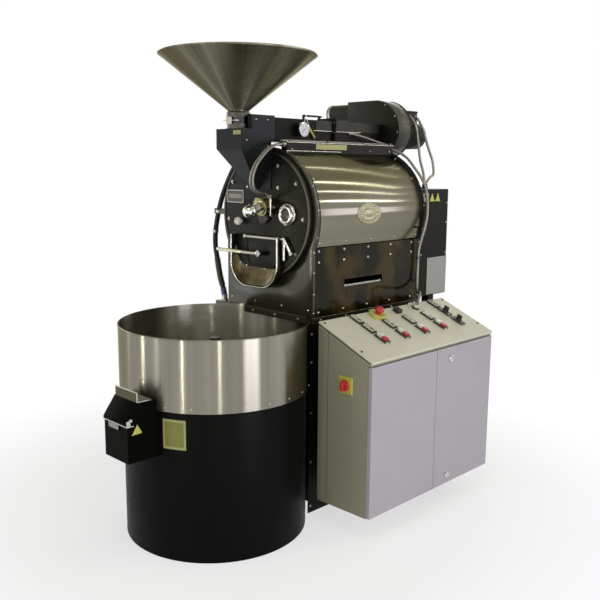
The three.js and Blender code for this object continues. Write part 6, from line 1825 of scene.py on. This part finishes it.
def make_world(scene):
    scene.view_settings.view_transform = "Standard"
    world = scene.world = bpy.data.worlds.new("studio")
    world.use_nodes = True
    tree = world.node_tree
    tree.nodes.clear()
    place = add(tree, "ShaderNodeTexCoord", {}).outputs["Generated"]
    height = add(tree, "ShaderNodeSeparateXYZ", {0: place}).outputs["Z"]
    sky = mixed(tree, ranged(tree, height, 0, 1, 0.30, 0.55), BACKDROP, CEILING)
    seen = add(tree, "ShaderNodeBackground", {"Strength": 1.0, "Color": sky}).outputs[0]
    light = add(tree, "ShaderNodeBackground", {"Strength": WORLD_LIGHT, "Color": WORLD_COLOR}).outputs[0]
    blended(tree, background_rays(tree), light, seen, add(tree, "ShaderNodeOutputWorld", {}))


def floor_into(work):
    half = FLOOR_HALF
    corners = ((-half, -half), (half, -half), (half, half), (-half, half))
    work.faces.new([work.verts.new((x, y, -0.5)) for x, y in corners])


def make_floor():
    material, tree, shader = nodes_of("pale_floor")
    clouds = ranged(tree, noise(tree, mapped(tree), 1.3), 0, 1)
    wire(tree, shader, {
        "Base Color": mixed(tree, clouds, *FLOOR_TONES), "Roughness": 0.8, "Specular IOR Level": 0.1,
    })
    # Beyond the object's shadow the floor takes the backdrop's colour.
    place = add(tree, "ShaderNodeTexCoord", {}).outputs["Object"]
    far = ranged(tree, vectored(tree, "LENGTH", "Value", {0: place}), 0.62, 1, 0.9, 1.8)
    glow = add(tree, "ShaderNodeEmission", {"Color": (*BACKDROP, 1), "Strength": 1.0}).outputs[0]
    share = combined(tree, far, background_rays(tree), "MULTIPLY")
    blended(tree, share, shader.outputs[0], glow, tree.nodes["Material Output"])
    floor = build("floor", [(floor_into,)])
    floor.data.materials.append(material)


def area(name, at, target, size, power, color=(1, 1, 1)):
    """Rectangular lamp; its own width lies level, its height stands across that."""
    data = bpy.data.lights.new(name, "AREA")
    data.shape = "RECTANGLE"
    data.size, data.size_y = size
    data.energy = power
    data.color = color
    lamp = link(bpy.data.objects.new(name, data))
    lamp.matrix_world = aim(at, Vector(at) - Vector(target))
    lamp.visible_camera = False


def upright_tube(name, bearing, height, size, radiance, color, reach=3.4):
    """Tube lamp standing at a bearing round the cooling bin."""
    a = math.radians(bearing)
    x, y = BIN[0] * MM, BIN[1] * MM
    at = (x + reach * math.cos(a), y + reach * math.sin(a), height)
    area(name, at, (x, y, height), size, radiance * math.pi * size[0] * size[1], color)


def level_tube(name, lift, size, radiance, color):
    """Tube lamp along the drum's axis, at an angle above it."""
    a = math.radians(lift)
    z = ARCH_Z * MM
    at = (LINE_REACH * math.cos(a), LINE_MIDDLE, z + LINE_REACH * math.sin(a))
    area(name, at, (0, LINE_MIDDLE, z), size, radiance * math.pi * size[0] * size[1], color)


def make_lights():
    upright_tube("window", 1, 0.66, (1.05, 1.2), 8.2, LILAC)
    for name, at, side, power, color in (
        ("top_soft", (1.2, -1.0, 4.0), 1.8, 21, (1.0, 0.99, 0.95)),
        ("front_soft", (-0.6, -4.2, 2.6), 1.4, 13, (0.98, 0.98, 0.94)),
        ("rear_soft", (-1.5, 4.2, 2.8), 1.8, 25, (1, 1, 1)),
        ("left_soft", (-3.8, -0.4, 2.4), 1.5, 17, (1, 1, 1)),
    ):
        area(name, at, LAMP_TARGET, (side, side), power, color)
    upright_tube("tube_1", -34.2, 0.85, (0.045, 1.6), 44, WARM, 3.9)
    upright_tube("tube_2", -74.5, 0.85, (0.05, 1.6), 44, WARM)
    upright_tube("tube_3", -125.4, 0.85, (0.05, 1.6), 42, WARM)
    upright_tube("tube_6", -105.5, 1.0, (0.30, 1.6), 2.6, LILAC)
    upright_tube("tube_5", -152, 1.0, (0.20, 1.6), 2.6, LILAC)
    for name, lift, height, radiance, color in (
        ("line_1", 82.7, 0.18, 9, WARM), ("line_2", 54.6, 0.32, 11, WARM),
        ("line_3", 39.3, 0.20, 12, (1.0, 1.0, 0.97)),
        ("line_4", 24.0, 0.30, 13, (1.0, 1.0, 0.98)), ("band", 7.1, 1.40, 3.0, (0.84, 0.82, 1.0)),
    ):
        level_tube(name, lift, (12, height), radiance, color)


make_world(bpy.context.scene)
make_floor()
make_lights()
